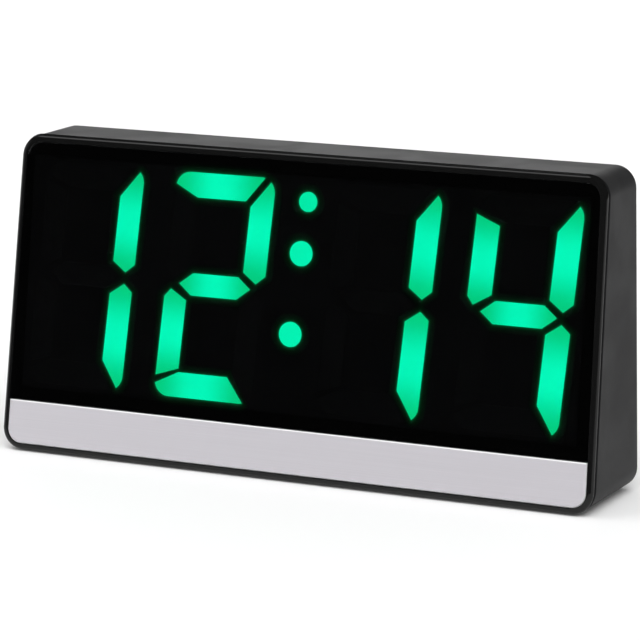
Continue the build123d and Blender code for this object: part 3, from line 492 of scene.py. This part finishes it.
# %% Cell sleeve
SLEEVE_DARK = (0.030, 0.042, 0.060)
SLEEVE_PALE = (0.36, 0.37, 0.38)
BARE_METAL = (0.62, 0.62, 0.61)
SLEEVE_GLOSS = (0.22, 0.36)
SLEEVE_SMEARS = 120.0
BAND_START = 0.52
NUB_BARE = 0.935
FLAT_BARE = 0.975
STEP_HALF = 0.004


def step_at(tree, value, edge):
    """0 below an edge and 1 above it, with a narrow slope between."""
    given = {"Value": value, "From Min": edge - STEP_HALF, "From Max": edge + STEP_HALF}
    return place(tree, "ShaderNodeMapRange", given).outputs["Result"]


def make_cell_sleeve():
    """Printed sleeve with a pale band, and bare metal at the two ends."""
    finish, tree, shader = new_finish("cell_sleeve")
    along = place(tree, "ShaderNodeAttribute", attribute_name="along").outputs["Fac"]
    handled = place(tree, "ShaderNodeGroup", node_tree=HANDLING)
    handled.inputs["Smears per metre"].default_value = SLEEVE_SMEARS
    print_tone = tint(tree, step_at(tree, along, BAND_START), SLEEVE_DARK, SLEEVE_PALE)
    far_end = step_at(tree, along, NUB_BARE)
    near_end = place(tree, "ShaderNodeMath", {0: along, 1: -1.0}, operation="MULTIPLY").outputs[0]
    near_end = step_at(tree, near_end, FLAT_BARE)
    bare = place(tree, "ShaderNodeMath", {0: far_end, 1: near_end}, operation="MAXIMUM").outputs[0]
    given = {"Factor": bare, 6: print_tone, 7: (*BARE_METAL, 1)}
    skin = place(tree, "ShaderNodeMix", given, data_type="RGBA")
    tree.links.new(skin.outputs[2], shader.inputs["Base Color"])
    tree.links.new(bare, shader.inputs["Metallic"])
    tree.links.new(span(tree, handled.outputs["Mask"], *SLEEVE_GLOSS), shader.inputs["Roughness"])
    return finish


cell_sleeve = make_cell_sleeve()
print("cells:", cell_sleeve.name)

# %% [markdown]
# Circuit boards
#
# The boards hide inside, but the battery bay and a clear view through a lens can show them. They
# get green solder mask over a pattern of copper tracks, with a slight step at each track.

# %% Green solder mask over copper tracks
TRACK_LENGTH = 9 * MM
TRACK_PITCH = 2.2 * MM
TRACK_WIDTH = 0.35 * MM
TRACK_SOFT = 0.1
TRACK_STEP = 0.035 * MM
TRACK_BUMP = 0.4
MASK_GREEN = (0.008, 0.060, 0.026)
TRACK_GREEN = (0.02, 0.12, 0.05)
BOARD_GLOSS = (0.35, 0.25)


def make_circuit_green():
    """Circuit board: tracks as raised lines under the mask."""
    finish, tree, shader = new_finish("circuit_green")
    where = place(tree, "ShaderNodeTexCoord").outputs["Object"]
    turned = place(tree, "ShaderNodeMapping", {"Vector": where, "Rotation": (math.pi / 2, 0, 0)})
    given = {"Vector": turned.outputs["Vector"], "Scale": 1.0, "Brick Width": TRACK_LENGTH,
             "Row Height": TRACK_PITCH, "Mortar Size": TRACK_WIDTH, "Mortar Smooth": TRACK_SOFT}
    line = place(tree, "ShaderNodeTexBrick", given).outputs["Fac"]
    tree.links.new(tint(tree, line, MASK_GREEN, TRACK_GREEN), shader.inputs["Base Color"])
    tree.links.new(span(tree, line, *BOARD_GLOSS), shader.inputs["Roughness"])
    raise_bump(tree, shader, line, TRACK_BUMP, TRACK_STEP)
    return finish


circuit_green = make_circuit_green()
print("board:", circuit_green.name)

# %% [markdown]
# Dressing the solids that keep their shape
#
# The hidden pieces are right as they are, so they only get their finishes. The record names one
# finish for each solid, and this table says which material stands for each of them.

# %% A material for every slot of the record
FINISHES = {
    "case_plastic": case_black,
    "bezel_plastic": bezel_black,
    "smoked_window": smoked_acrylic,
    "brushed_strip": strip_silver,
    "reflector_plastic": reflector_black,
    "segment_lit": glowing_diffuser,
    "segment_dark": segment_grey,
    "circuit_board": circuit_green,
    "led_body": led_cream,
    "chip_body": chip_black,
    "can_metal": can_metal,
    "screw_steel": screw_steel,
    "contact_metal": contact_nickel,
    "cell_sleeve": cell_sleeve,
    "foot_rubber": foot_rubber,
    "button_plastic": button_black,
    "switch_body": switch_black,
    "plunger_plastic": plunger_white,
    "socket_shell": socket_steel,
    "ribbon_sheath": ribbon_grey,
    "lead_red": lead_red,
    "lead_black": lead_black,
}
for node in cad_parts.values():
    for slot in node.material_slots:
        slot.material = FINISHES[slot.material.name]
print("dressed:", len(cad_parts), "solids")

# %% [markdown]
# The window pane
#
# The pane is cut from sheet and its front edge is broken by hand. The copy of its solid keeps its
# outline, its back is drawn forward by a hair, because two surfaces in one plane would flicker, and
# its front edge gets a small bevel that catches the light.

# %% Window pane
LEAN = math.radians(8.5)
FACE_NORMAL = Vector((0, -math.cos(LEAN), math.sin(LEAN)))
FACE_UP = Vector((0, math.sin(LEAN), math.cos(LEAN)))
PANE_AIR = 0.06 * MM
PANE_BEVEL = 0.15 * MM
FACING = 0.99


def faces_front(centre, normal):
    """True for a face that looks out of the leaning front."""
    return normal.dot(FACE_NORMAL) > FACING


def faces_inside(centre, normal):
    """True for a face that looks into the clock from the leaning front."""
    return normal.dot(FACE_NORMAL) < -FACING


pane = copy_node("front_lens", "window_pane")
select_faces(pane, faces_inside)
bpy.ops.transform.translate(value=FACE_NORMAL * PANE_AIR)
bpy.ops.object.mode_set(mode="OBJECT")
select_faces(pane, faces_front)
bpy.ops.mesh.region_to_loop()
bpy.ops.mesh.bevel(offset=PANE_BEVEL, segments=2, affect="EDGES")
bpy.ops.object.mode_set(mode="OBJECT")
smooth(pane)
seat(pane, smoked_acrylic, "clock_body", "smoked_window", "front_lens")

# %% [markdown]
# The bezel
#
# The bezel is the glossiest part of the case, so every kink in its shading shows. A fine groove runs
# behind it, and seen from the front it shows as a black line. The wall of the groove is drawn forward
# to the end of the bezel's rounding, so that the line is as wide as in the picture, and its edge is
# broken a little. Along the top the rounding ends in a fine lip, which stands proud of the case. The
# rounding is found by flooding from the outer side, and the lip fades out in the corners, so its
# points are moved in code.

# %% Bezel frame
GROOVE_FRONT = 2.6 * MM
GROOVE_WIDENED = 0.95 * MM
BEZEL_REAR_EDGE = 0.1 * MM
BEZEL_ROUNDING = 1.5 * MM
LIP = 0.25 * MM
LIP_END = 6 * MM
LIP_FADE = 5 * MM

bezel = copy_node("front_bezel", "bezel_frame")
bezel_front = max(point.co.dot(FACE_NORMAL) for point in bezel.data.vertices)


def bezel_depth(spot):
    """How far behind the front of the bezel a spot lies."""
    return bezel_front - spot.dot(FACE_NORMAL)


def in_groove(centre, normal):
    """True for the wall of the groove, which looks back."""
    return normal.dot(FACE_NORMAL) < -FLAT and abs(bezel_depth(centre) - GROOVE_FRONT) < OUTER_FACE


def on_rear_edge(point):
    """True for a point of that wall, once it is drawn forward."""
    return abs(bezel_depth(point.co) - GROOVE_FRONT + GROOVE_WIDENED) < OUTER_FACE


select_faces(bezel, in_groove)
bpy.ops.transform.translate(value=FACE_NORMAL * GROOVE_WIDENED)
bpy.ops.object.mode_set(mode="OBJECT")
print("groove wall:", sum(face.select for face in bezel.data.polygons), "faces")
bezel_side = max(face.center.x for face in bezel.data.polygons)
select_faces(bezel, lambda centre, normal: centre.x > bezel_side - OUTER_FACE)
bpy.ops.mesh.faces_select_linked_flat(sharpness=SMOOTH_ANGLE)
bpy.ops.object.mode_set(mode="OBJECT")
bezel_top = max(point.co.dot(FACE_UP) for point in bezel.data.vertices)
lip_points = [point for point in bezel.data.vertices
              if point.select and point.co.dot(FACE_UP) > bezel_top - LIP_END]
for point in lip_points:
    fade = min(1.0, (point.co.dot(FACE_UP) - bezel_top + LIP_END) / LIP_FADE)
    point.co += FACE_UP * LIP * fade * (bezel_depth(point.co) / BEZEL_ROUNDING) ** 2
print("lip:", len(lip_points), "points")
break_edges(bezel, on_rear_edge, BEZEL_REAR_EDGE)
smooth(bezel)
seat(bezel, bezel_black, "clock_body", "bezel_plastic", "front_bezel")

# %% [markdown]
# The strip under the window
#
# The strip is a rounded plate with a bevel round its front. Its solid already has that shape, so the copy is
# only drawn forward until its bevel clears the window, and marks the bevel's faces, which get a painted
# highlight.

# %% Silver strip
STRIP_PROUD = 0.2 * MM
BEVEL_LOW = 0.2
BEVEL_HIGH = 0.95

strip = copy_node("trim_strip", "silver_strip")
flatten(strip)
select_faces(strip, lambda centre, normal: normal.dot(FACE_NORMAL) > BEVEL_LOW)
bpy.ops.transform.translate(value=FACE_NORMAL * STRIP_PROUD)
bpy.ops.object.mode_set(mode="OBJECT")
smooth(strip)
# The bevel's faces are marked for their smoother finish and their painted highlight.
bright = strip.data.attributes.new("bright", "FLOAT", "FACE")
for face in strip.data.polygons:
    bright.data[face.index].value = float(BEVEL_LOW < face.normal.dot(FACE_NORMAL) < BEVEL_HIGH)
seat(strip, strip_silver, "clock_body", "brushed_strip", "trim_strip")

# %% [markdown]
# Lit segments
#
# Each lit solid is taken apart into its segments. A segment is set back a hair from the pane and
# gets its number. A round dot is evenly lit, so it gets one number all over. The fringe starts as a
# copy of the segment's front: it is extruded into a thin tile, its two large faces are deleted, and
# the remaining band is given a thickness outwards, which makes a flat ring round the segment.

# %% Segments with their glow numbers
SEGMENT_SET_BACK = 0.03 * MM
SLANT = math.tan(math.radians(3.4))
SLANTED_UP = (FACE_UP + Vector((SLANT, 0, 0))).normalized()
COLON_GLOW = 0.31
INDICATOR_GLOW = 0.46
FRINGE_WIDTH = 3.0 * MM
FRINGE_THICKNESS = 0.006 * MM
FRINGE_LEVELS = (0.008 * MM, 0.020 * MM)


def write_along(piece):
    """Writes how far along its segment each point lies, from -1 to 1. True for an upright segment."""
    points = [point.co for point in piece.data.vertices]
    middle = sum(points, Vector()) / len(points)
    sizes = []
    for axis in (Vector((1, 0, 0)), SLANTED_UP):
        reach = [(point - middle).dot(axis) for point in points]
        sizes.append((max(reach) - min(reach), (max(reach) + min(reach)) / 2, axis))
    length, centre, axis = max(sizes, key=lambda size: size[0])
    along = piece.data.attributes.new("along", "FLOAT", "POINT")
    for index, point in enumerate(points):
        along.data[index].value = ((point - middle).dot(axis) - centre) / (length / 2)
    return axis is SLANTED_UP


def write_even(piece, level):
    """Writes one glow number for a whole piece."""
    along = piece.data.attributes.new("along", "FLOAT", "POINT")
    along.data.foreach_set("value", [level] * len(piece.data.vertices))


def make_fringe(segment, level):
    """A flat ring round the front of a segment, with a number that fades outwards."""
    pick(segment)
    select_faces(segment, faces_front)
    bpy.ops.mesh.duplicate()
    bpy.ops.mesh.separate(type="SELECTED")
    bpy.ops.object.mode_set(mode="OBJECT")
    ring = next(piece for piece in bpy.context.selected_objects if piece is not segment)
    flatten(ring)
    outline = [point.co + FACE_NORMAL * (SEGMENT_SET_BACK + level) for point in ring.data.vertices]
    bpy.ops.object.mode_set(mode="EDIT")
    bpy.ops.mesh.select_all(action="SELECT")
    bpy.ops.transform.translate(value=FACE_NORMAL * (SEGMENT_SET_BACK + level))
    bpy.ops.mesh.extrude_region_move(TRANSFORM_OT_translate={"value": FACE_NORMAL * FRINGE_THICKNESS})
    bpy.ops.mesh.select_all(action="SELECT")
    bpy.ops.mesh.normals_make_consistent(inside=False)
    bpy.ops.object.mode_set(mode="OBJECT")
    select_faces(ring, lambda centre, normal: abs(normal.dot(FACE_NORMAL)) > FACING)
    bpy.ops.mesh.delete(type="ONLY_FACE")
    bpy.ops.object.mode_set(mode="OBJECT")
    apply(ring, "SOLIDIFY", thickness=FRINGE_WIDTH, offset=1.0, use_even_offset=False)
    fringe = ring.data.attributes.new("fringe", "FLOAT", "POINT")
    for index, point in enumerate(ring.data.vertices):
        nearest = min((point.co - corner).length for corner in outline)
        fringe.data[index].value = float(nearest < 2 * FRINGE_THICKNESS)
    return ring


def light_up(node, name, even=None):
    """One lit piece made of all the segments of a solid, and the rings of their fringe."""
    piece = copy_node(node, name)
    bpy.ops.object.mode_set(mode="EDIT")
    bpy.ops.mesh.select_all(action="SELECT")
    bpy.ops.transform.translate(value=-FACE_NORMAL * SEGMENT_SET_BACK)
    bpy.ops.mesh.separate(type="LOOSE")
    bpy.ops.object.mode_set(mode="OBJECT")
    segments = [piece] + [other for other in bpy.context.selected_objects if other is not piece]
    rings = []
    for segment in segments:
        upright = False
        if even is None:
            upright = write_along(segment)
        else:
            write_even(segment, even)
        rings.append(make_fringe(segment, FRINGE_LEVELS[upright]))
    join(segments)
    smooth(piece)
    seat(piece, glowing_diffuser, "clock_body", "segment_lit", node)
    return rings


halo = []
for digit in ("hour_tens", "hour_units", "minute_tens", "minute_units"):
    halo += light_up(f"{digit}_lit", f"{digit}_glow")
halo += light_up("colon_dots", "colon_glow", COLON_GLOW)
halo += light_up("indicator_dot", "indicator_glow", INDICATOR_GLOW)
halo[0].name = "display_fringe"
seat(join(halo), glow_fringe, "clock_body", "segment_lit")

# %% [markdown]
# Button caps
#
# A fingertip finds a button by the hollow in its cap. The copies of the four button solids get that
# hollow from three insets of the outer face, each one sunk a little further than the last.

# %% Hollow button caps
CAP_STEPS = ((0.45 * MM, 0.11 * MM), (0.55 * MM, 0.08 * MM), (0.60 * MM, 0.04 * MM))


def hollow_cap(node, name, body):
    """A button with a shallow hollow in its cap."""
    cap = copy_node(node, name)
    flatten(cap)
    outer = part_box(node)[1].y - OUTER_FACE
    select_faces(cap, lambda centre, normal: normal.y > FLAT and centre.y > outer)
    for width, drop in CAP_STEPS:
        bpy.ops.mesh.inset(thickness=width, depth=-drop)
    bpy.ops.object.mode_set(mode="OBJECT")
    smooth(cap)
    seat(cap, button_black, body, "button_plastic", node)


for button in ("set_button", "up_button", "down_button", "alarm_button"):
    hollow_cap(button, button.replace("button", "cap"), button)

# %% [markdown]
# Slide knob and feet
#
# These solids only need their sharp edges broken, because no moulded edge is really sharp. The feet
# also get a ring pressed into their soles, which makes them grip like small suckers.

# %% Pieces with broken edges
KNOB_EDGE = 0.12 * MM
FOOT_EDGE = 0.25 * MM
SOLE_RIM = 1.2 * MM
SOLE_HOLLOW = 0.2 * MM

knob = copy_node("slide_knob", "slide_grip")
round_edges(knob, KNOB_EDGE)
smooth(knob)
seat(knob, button_black, "slide_knob", "button_plastic", "slide_knob")

feet = copy_node("rubber_feet", "foot_pads")
round_edges(feet, FOOT_EDGE)
select_faces(feet, lambda centre, normal: normal.z < -FLAT and centre.z < OUTER_FACE)
bpy.ops.mesh.inset(thickness=SOLE_RIM)
bpy.ops.mesh.inset(thickness=SOLE_HOLLOW, depth=-SOLE_HOLLOW)
bpy.ops.object.mode_set(mode="OBJECT")
smooth(feet)
seat(feet, foot_rubber, "clock_body", "foot_rubber", "rubber_feet")

# %% [markdown]
# Case shell and battery door
#
# The edges of the rear faces are broken on both mouldings, and so are those of the control panel.
# The door has a moulded arrow under its latch, which shows the way to press. A circle with three
# corners is a triangle, so the arrow starts as one, is extruded out of the door, and joins it.

# %% Case shell, and battery door with its arrow
SHELL_EDGE = 0.25 * MM
PANEL_EDGE = 0.12 * MM
PANEL_DEPTH = 1.0 * MM
DOOR_EDGE = 0.2 * MM
ARROW_SIZE = 2.6 * MM
ARROW_PLACE = 27.5 * MM
ARROW_ROOT = 0.2 * MM
ARROW_RISE = 0.45 * MM
ARROW_EDGE = 0.08 * MM
POINT_UP = 0.0
POINT_DOWN = math.pi


def raised_shape(corners, radius, middle, turn, rise, line=None):
    """A regular shape, or its outline, that stands out of an upright face on the back of the clock."""
    bpy.ops.object.select_all(action="DESELECT")
    bpy.ops.mesh.primitive_circle_add(
        vertices=corners, radius=radius, fill_type="NGON", location=middle, rotation=(math.pi / 2, turn, 0))
    bpy.ops.object.transform_apply(location=True, rotation=True, scale=True)
    shape = bpy.context.object
    bpy.ops.object.mode_set(mode="EDIT")
    bpy.ops.mesh.select_all(action="SELECT")
    if line:
        bpy.ops.mesh.inset(thickness=line)
        bpy.ops.mesh.delete(type="FACE")
        bpy.ops.mesh.select_all(action="SELECT")
    bpy.ops.mesh.extrude_region_move(TRANSFORM_OT_translate={"value": (0, rise, 0)})
    bpy.ops.mesh.select_all(action="SELECT")
    bpy.ops.mesh.normals_make_consistent(inside=False)
    bpy.ops.object.mode_set(mode="OBJECT")
    return shape


def in_plane(plane):
    """A test of whether a point lies in an upright plane on the back of the clock."""
    return lambda point: abs(point.co.y - plane) < OUTER_FACE


shell = copy_node("rear_housing", "case_shell")
back_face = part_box("rear_housing")[1].y
break_edges(shell, in_plane(back_face), SHELL_EDGE)
break_edges(shell, in_plane(back_face - PANEL_DEPTH), PANEL_EDGE)
smooth(shell)
seat(shell, case_black, "clock_body", "case_plastic", "rear_housing")

door = copy_node("battery_door", "door_cover")
door_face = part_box("battery_door")[1].y
break_edges(door, in_plane(door_face), DOOR_EDGE)
arrow = raised_shape(3, ARROW_SIZE, (0, door_face - ARROW_ROOT, ARROW_PLACE), POINT_DOWN, ARROW_RISE)
round_edges(arrow, ARROW_EDGE)
join([door, arrow])
smooth(door)
seat(door, case_black, "battery_door", "case_plastic", "battery_door")

# %% [markdown]
# Case screws
#
# The two screws sit deep in their holes, and only their heads show. Their cross is cut by two slim
# blocks with a Boolean modifier, as a punch would press it.

# %% Screws with a cross
CROSS_LENGTH = 3.2 * MM
CROSS_WIDTH = 0.8 * MM
CROSS_DEPTH = 1.1 * MM

screws = copy_node("case_screws", "cross_screws")
flatten(screws)
screw_low, screw_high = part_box("case_screws")
head_radius = (screw_high.z - screw_low.z) / 2
head_z = (screw_high.z + screw_low.z) / 2
for head_x in (screw_low.x + head_radius, screw_high.x - head_radius):
    for size in ((CROSS_LENGTH, CROSS_WIDTH), (CROSS_WIDTH, CROSS_LENGTH)):
        bpy.ops.object.select_all(action="DESELECT")
        bpy.ops.mesh.primitive_cube_add(
            size=1, location=(head_x, screw_high.y, head_z), scale=(size[0], 2 * CROSS_DEPTH, size[1]))
        punch = bpy.context.object
        apply(screws, "BOOLEAN", object=punch, operation="DIFFERENCE", solver="EXACT")
        pick(punch)
        bpy.ops.object.delete()
smooth(screws)
seat(screws, screw_steel, "clock_body", "screw_steel", "case_screws")

# %% [markdown]
# Battery cells
#
# The cells show when the door is open. Each one gets its number for the sleeve, and the metal of its
# flat end is pressed in a little inside the rim.

# %% Cells with their sleeves
CELL_RIM = 1.6 * MM
CELL_PRESS = 0.3 * MM
NUB_REACH = 4.0 * MM


def finish_cell(cell):
    """Writes a cell's number from -1 at its flat end to 1 at its nub, and presses in its flat end."""
    flatten(cell)
    points = [point.co for point in cell.data.vertices]
    low, high = min(point.x for point in points), max(point.x for point in points)
    middle = sum(points, Vector()) / len(points)
    tip = [point for point in points if point.x > high - OUTER_FACE]
    way = 1 if max(math.hypot(point.y - middle.y, point.z - middle.z) for point in tip) < NUB_REACH else -1
    flat_end = low if way > 0 else high
    pick(cell)
    select_faces(
        cell, lambda centre, normal: abs(normal.x) > FLAT and abs(centre.x - flat_end) < OUTER_FACE)
    bpy.ops.mesh.inset(thickness=CELL_RIM)
    bpy.ops.mesh.inset(thickness=CELL_PRESS, depth=-CELL_PRESS)
    bpy.ops.object.mode_set(mode="OBJECT")
    along = cell.data.attributes.new("along", "FLOAT", "POINT")
    for index, point in enumerate(cell.data.vertices):
        along.data[index].value = way * (2 * (point.co.x - low) / (high - low) - 1)


cells = copy_node("battery_cells", "dry_cells")
bpy.ops.object.mode_set(mode="EDIT")
bpy.ops.mesh.select_all(action="SELECT")
bpy.ops.mesh.separate(type="LOOSE")
bpy.ops.object.mode_set(mode="OBJECT")
row = [cells] + [other for other in bpy.context.selected_objects if other is not cells]
for cell in row:
    finish_cell(cell)
join(row)
smooth(cells)
seat(cells, cell_sleeve, "clock_body", "cell_sleeve", "battery_cells")

# %% [markdown]
# Signs on the control panel
#
# Small white signs are printed over the controls: a dial for setting, arrows for up and down, a bell
# for the alarm, and a small and a large dot for the two brightness levels. Each is made of regular
# shapes, a hair proud of the panel. A ring is a disc with its middle taken out.

# %% Printed signs
PRINT_RISE = 0.04 * MM
PRINT_ROOT = 0.02 * MM
SIGN_ROW = 76.7 * MM
ROUND = 32
DIAL_SIZE = 1.3 * MM
DIAL_LINE = 0.4 * MM
DIAL_DOT = 0.35 * MM
TRIANGLE = 1.5 * MM
BELL_SIZE = 1.45 * MM
BELL_DOME = 0.8 * MM
DOME_RISE = 0.3 * MM
CLAPPER = 0.32 * MM
CLAPPER_DROP = 1.15 * MM
DIM_DOT = 0.40 * MM
BRIGHT_DOT = 0.80 * MM
KNOB_TRAVEL = 3.0 * MM
panel_y = back_face - PANEL_DEPTH - PRINT_ROOT


def middle_of(node):
    """How far right the middle of a node lies."""
    low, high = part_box(node)
    return (low.x + high.x) / 2


def sign(corners, radius, across, rise=0.0, turn=POINT_UP, line=None):
    """A printed disc, ring or triangle over a control."""
    middle = (across, panel_y, SIGN_ROW + rise)
    return raised_shape(corners, radius, middle, turn, PRINT_ROOT + PRINT_RISE, line)


def bell_sign(across):
    """A bell: a triangle with a round dome."""
    bell = sign(3, BELL_SIZE, across)
    dome = sign(ROUND, BELL_DOME, across, DOME_RISE)
    apply(bell, "BOOLEAN", object=dome, operation="UNION", solver="EXACT")
    pick(dome)
    bpy.ops.object.delete()
    return bell


set_x, up_x, down_x, alarm_x = (middle_of(f"{name}_button") for name in ("set", "up", "down", "alarm"))
knob_x = middle_of("slide_knob")
signs = [
    sign(ROUND, DIAL_SIZE, set_x, line=DIAL_LINE),
    sign(ROUND, DIAL_DOT, set_x),
    sign(3, TRIANGLE, up_x),
    sign(3, TRIANGLE, down_x, turn=POINT_DOWN),
    bell_sign(alarm_x),
    sign(ROUND, CLAPPER, alarm_x, -CLAPPER_DROP),
    sign(ROUND, DIM_DOT, knob_x),
    sign(ROUND, BRIGHT_DOT, knob_x + KNOB_TRAVEL),
]
signs[0].name = "panel_signs"
seat(join(signs), print_white, "clock_body", "plunger_plastic")

# %% [markdown]
# The studio
#
# The clock stands on a white table that runs on to the horizon. The table is matte, so it takes the
# soft shadow, and a little light of its own, seen only by the camera and through glass, lifts it to
# the white of the backdrop. The room in front of the clock is dark, so the window stays black. A low
# white backdrop hangs behind, where the camera looks, and the top of the case mirrors it. A panel
# on the left draws a thin line of light along the bezel.

# %% Table and world
WHITE = (1.0, 1.0, 1.0, 1.0)
TABLE_SIZE = 14.0
TABLE_SHADE = 0.91
TABLE_LIFT = 0.04
FILL_LOW = 0.20
FILL_HIGH = 0.60
ROOM_DIM = 0.012
BACKDROP_SIDE = (-0.44, 0.90, 0.0)
BACKDROP_SPREAD = (0.50, 0.90)
BACKDROP_TOP = (0.20, 0.50)
PANEL_SIDE = (-0.91, -0.41, 0.05)
PANEL_SPREAD = (0.90, 0.97)
PANEL_LIGHT = 0.9


def make_table_white():
    """Matte white that shows as the backdrop's white."""
    finish = bpy.data.materials.new("table_white")
    finish.use_nodes = True
    tree = finish.node_tree
    tree.nodes.clear()
    matte = place(tree, "ShaderNodeBsdfDiffuse", {"Color": (TABLE_SHADE, TABLE_SHADE, TABLE_SHADE, 1)})
    path = place(tree, "ShaderNodeLightPath").outputs
    seen = {0: path["Is Camera Ray"], 1: path["Is Transmission Ray"]}
    seen = place(tree, "ShaderNodeMath", seen, operation="MAXIMUM").outputs[0]
    lift = place(tree, "ShaderNodeMath", {0: seen, 1: TABLE_LIFT}, operation="MULTIPLY").outputs[0]
    glow = place(tree, "ShaderNodeEmission", {"Color": WHITE, "Strength": lift})
    both = place(tree, "ShaderNodeAddShader", {0: matte.outputs[0], 1: glow.outputs[0]})
    place(tree, "ShaderNodeOutputMaterial", {"Surface": both.outputs[0]})
    return finish


def smooth_range(tree, value, limits, start, end):
    """Maps a number softly from one range to another."""
    low, high = limits
    given = {"Value": value, "From Min": low, "From Max": high, "To Min": start, "To Max": end}
    return place(tree, "ShaderNodeMapRange", given, interpolation_type="SMOOTHSTEP").outputs["Result"]


def facing(tree, direction, side):
    """How far a direction points to a side, from -1 to 1."""
    given = {0: direction, 1: side}
    return place(tree, "ShaderNodeVectorMath", given, operation="DOT_PRODUCT").outputs["Value"]


def make_studio_world():
    """White for the camera, a dim room with a backdrop for mirrors, and a fill from above for the rest."""
    world = bpy.data.worlds.new("studio")
    world.use_nodes = True
    tree = world.node_tree
    tree.nodes.clear()
    direction = place(tree, "ShaderNodeTexCoord").outputs["Generated"]
    height = place(tree, "ShaderNodeSeparateXYZ", {"Vector": direction}).outputs["Z"]
    behind = smooth_range(tree, facing(tree, direction, BACKDROP_SIDE), BACKDROP_SPREAD, 0.0, 1.0)
    low_down = smooth_range(tree, height, BACKDROP_TOP, 1.0, 0.0)
    backdrop = place(tree, "ShaderNodeMath", {0: behind, 1: low_down}, operation="MULTIPLY").outputs[0]
    panel = smooth_range(tree, facing(tree, direction, PANEL_SIDE), PANEL_SPREAD, 0.0, PANEL_LIGHT)
    path = place(tree, "ShaderNodeLightPath").outputs
    mirrors = {0: path["Is Glossy Ray"], 1: path["Is Transmission Ray"]}
    mirrors = place(tree, "ShaderNodeMath", mirrors, operation="MAXIMUM").outputs[0]
    mirrored = {0: span(tree, backdrop, ROOM_DIM, 1.0), 1: panel}
    mirrored = place(tree, "ShaderNodeMath", mirrored, operation="MAXIMUM").outputs[0]
    fill = span(tree, height, FILL_LOW, FILL_HIGH)
    light = {"Factor": mirrors, "A": fill, "B": mirrored}
    light = place(tree, "ShaderNodeMix", light).outputs["Result"]
    shown = place(tree, "ShaderNodeMix", {"Factor": path["Is Camera Ray"], "A": light, "B": 1.0})
    sky = place(tree, "ShaderNodeBackground", {"Color": WHITE, "Strength": shown.outputs["Result"]})
    place(tree, "ShaderNodeOutputWorld", {"Surface": sky.outputs[0]})
    return world


bpy.ops.object.select_all(action="DESELECT")
bpy.ops.mesh.primitive_plane_add(size=TABLE_SIZE)
table = bpy.context.object
table.name = "table"
table.data.materials.append(make_table_white())
bpy.context.scene.world = make_studio_world()
print("table and world ready")

# %% [markdown]
# The lamps
#
# A large soft lamp in front of the clock and above it gives the front its light, a smaller one above
# draws the highlight along the bezel, and a weak one behind skims over the top of the case. All are
# sun lamps with a wide angle, so the whole table is lit alike, and the shadow falls softly behind.
# The front lamp stands for many small ones, so it isn't mirrored as one bright disc in the bezel.

# %% Lamps
LAMPS = {
    "front_lamp": {"side": Vector((0.28, -0.50, 0.82)), "strength": 1.95, "angle": math.radians(50),
                   "mirrored": False},
    "top_lamp": {"side": Vector((-0.43, -0.12, 0.90)), "strength": 0.42, "angle": math.radians(30),
                 "mirrored": True},
    "rim_lamp": {"side": Vector((-0.43, 0.80, 0.42)), "strength": 0.30, "angle": math.radians(40),
                 "mirrored": True},
}

for name, values in LAMPS.items():
    bpy.ops.object.light_add(type="SUN")
    lamp = bpy.context.object
    lamp.name = name
    lamp.data.energy = values["strength"]
    lamp.data.angle = values["angle"]
    lamp.visible_glossy = values["mirrored"]
    lamp.rotation_mode = "QUATERNION"
    lamp.rotation_quaternion = (-values["side"]).to_track_quat("-Z", "Y")
    print(name, "from", tuple(values["side"]))

# %% [markdown]
# The camera
#
# The picture was taken from the right and a little above, from more than a metre away with a long
# lens, so the sides of the case hardly converge. The camera looks at a point near the middle of the
# clock, and a small shift frames it as in the picture.

# %% Camera
CAMERA_TARGET = Vector((0.0, 1.3, 53.3)) * MM
CAMERA_AZIMUTH = math.radians(26.2045)
CAMERA_ELEVATION = math.radians(11.707)
CAMERA_ROLL = math.radians(-0.238)
CAMERA_DISTANCE = 1177.9 * MM
CAMERA_LENS = 199.86
CAMERA_SENSOR = 36.0
CAMERA_CLIP = (0.05, 60.0)
FRAME_SHIFT = (0.0111, -0.0125)

towards_camera = Vector((
    math.sin(CAMERA_AZIMUTH) * math.cos(CAMERA_ELEVATION),
    -math.cos(CAMERA_AZIMUTH) * math.cos(CAMERA_ELEVATION),
    math.sin(CAMERA_ELEVATION),
))
bpy.ops.object.camera_add(location=CAMERA_TARGET + towards_camera * CAMERA_DISTANCE)
camera = bpy.context.object
camera.rotation_mode = "QUATERNION"
level = (-towards_camera).to_track_quat("-Z", "Y")
camera.rotation_quaternion = level @ Quaternion((0, 0, 1), CAMERA_ROLL)
camera.data.sensor_width = CAMERA_SENSOR
camera.data.lens = CAMERA_LENS
camera.data.shift_x, camera.data.shift_y = FRAME_SHIFT
camera.data.clip_start, camera.data.clip_end = CAMERA_CLIP
bpy.context.scene.camera = camera
bpy.context.scene.view_settings.view_transform = "Standard"
print("camera at", tuple(camera.location))
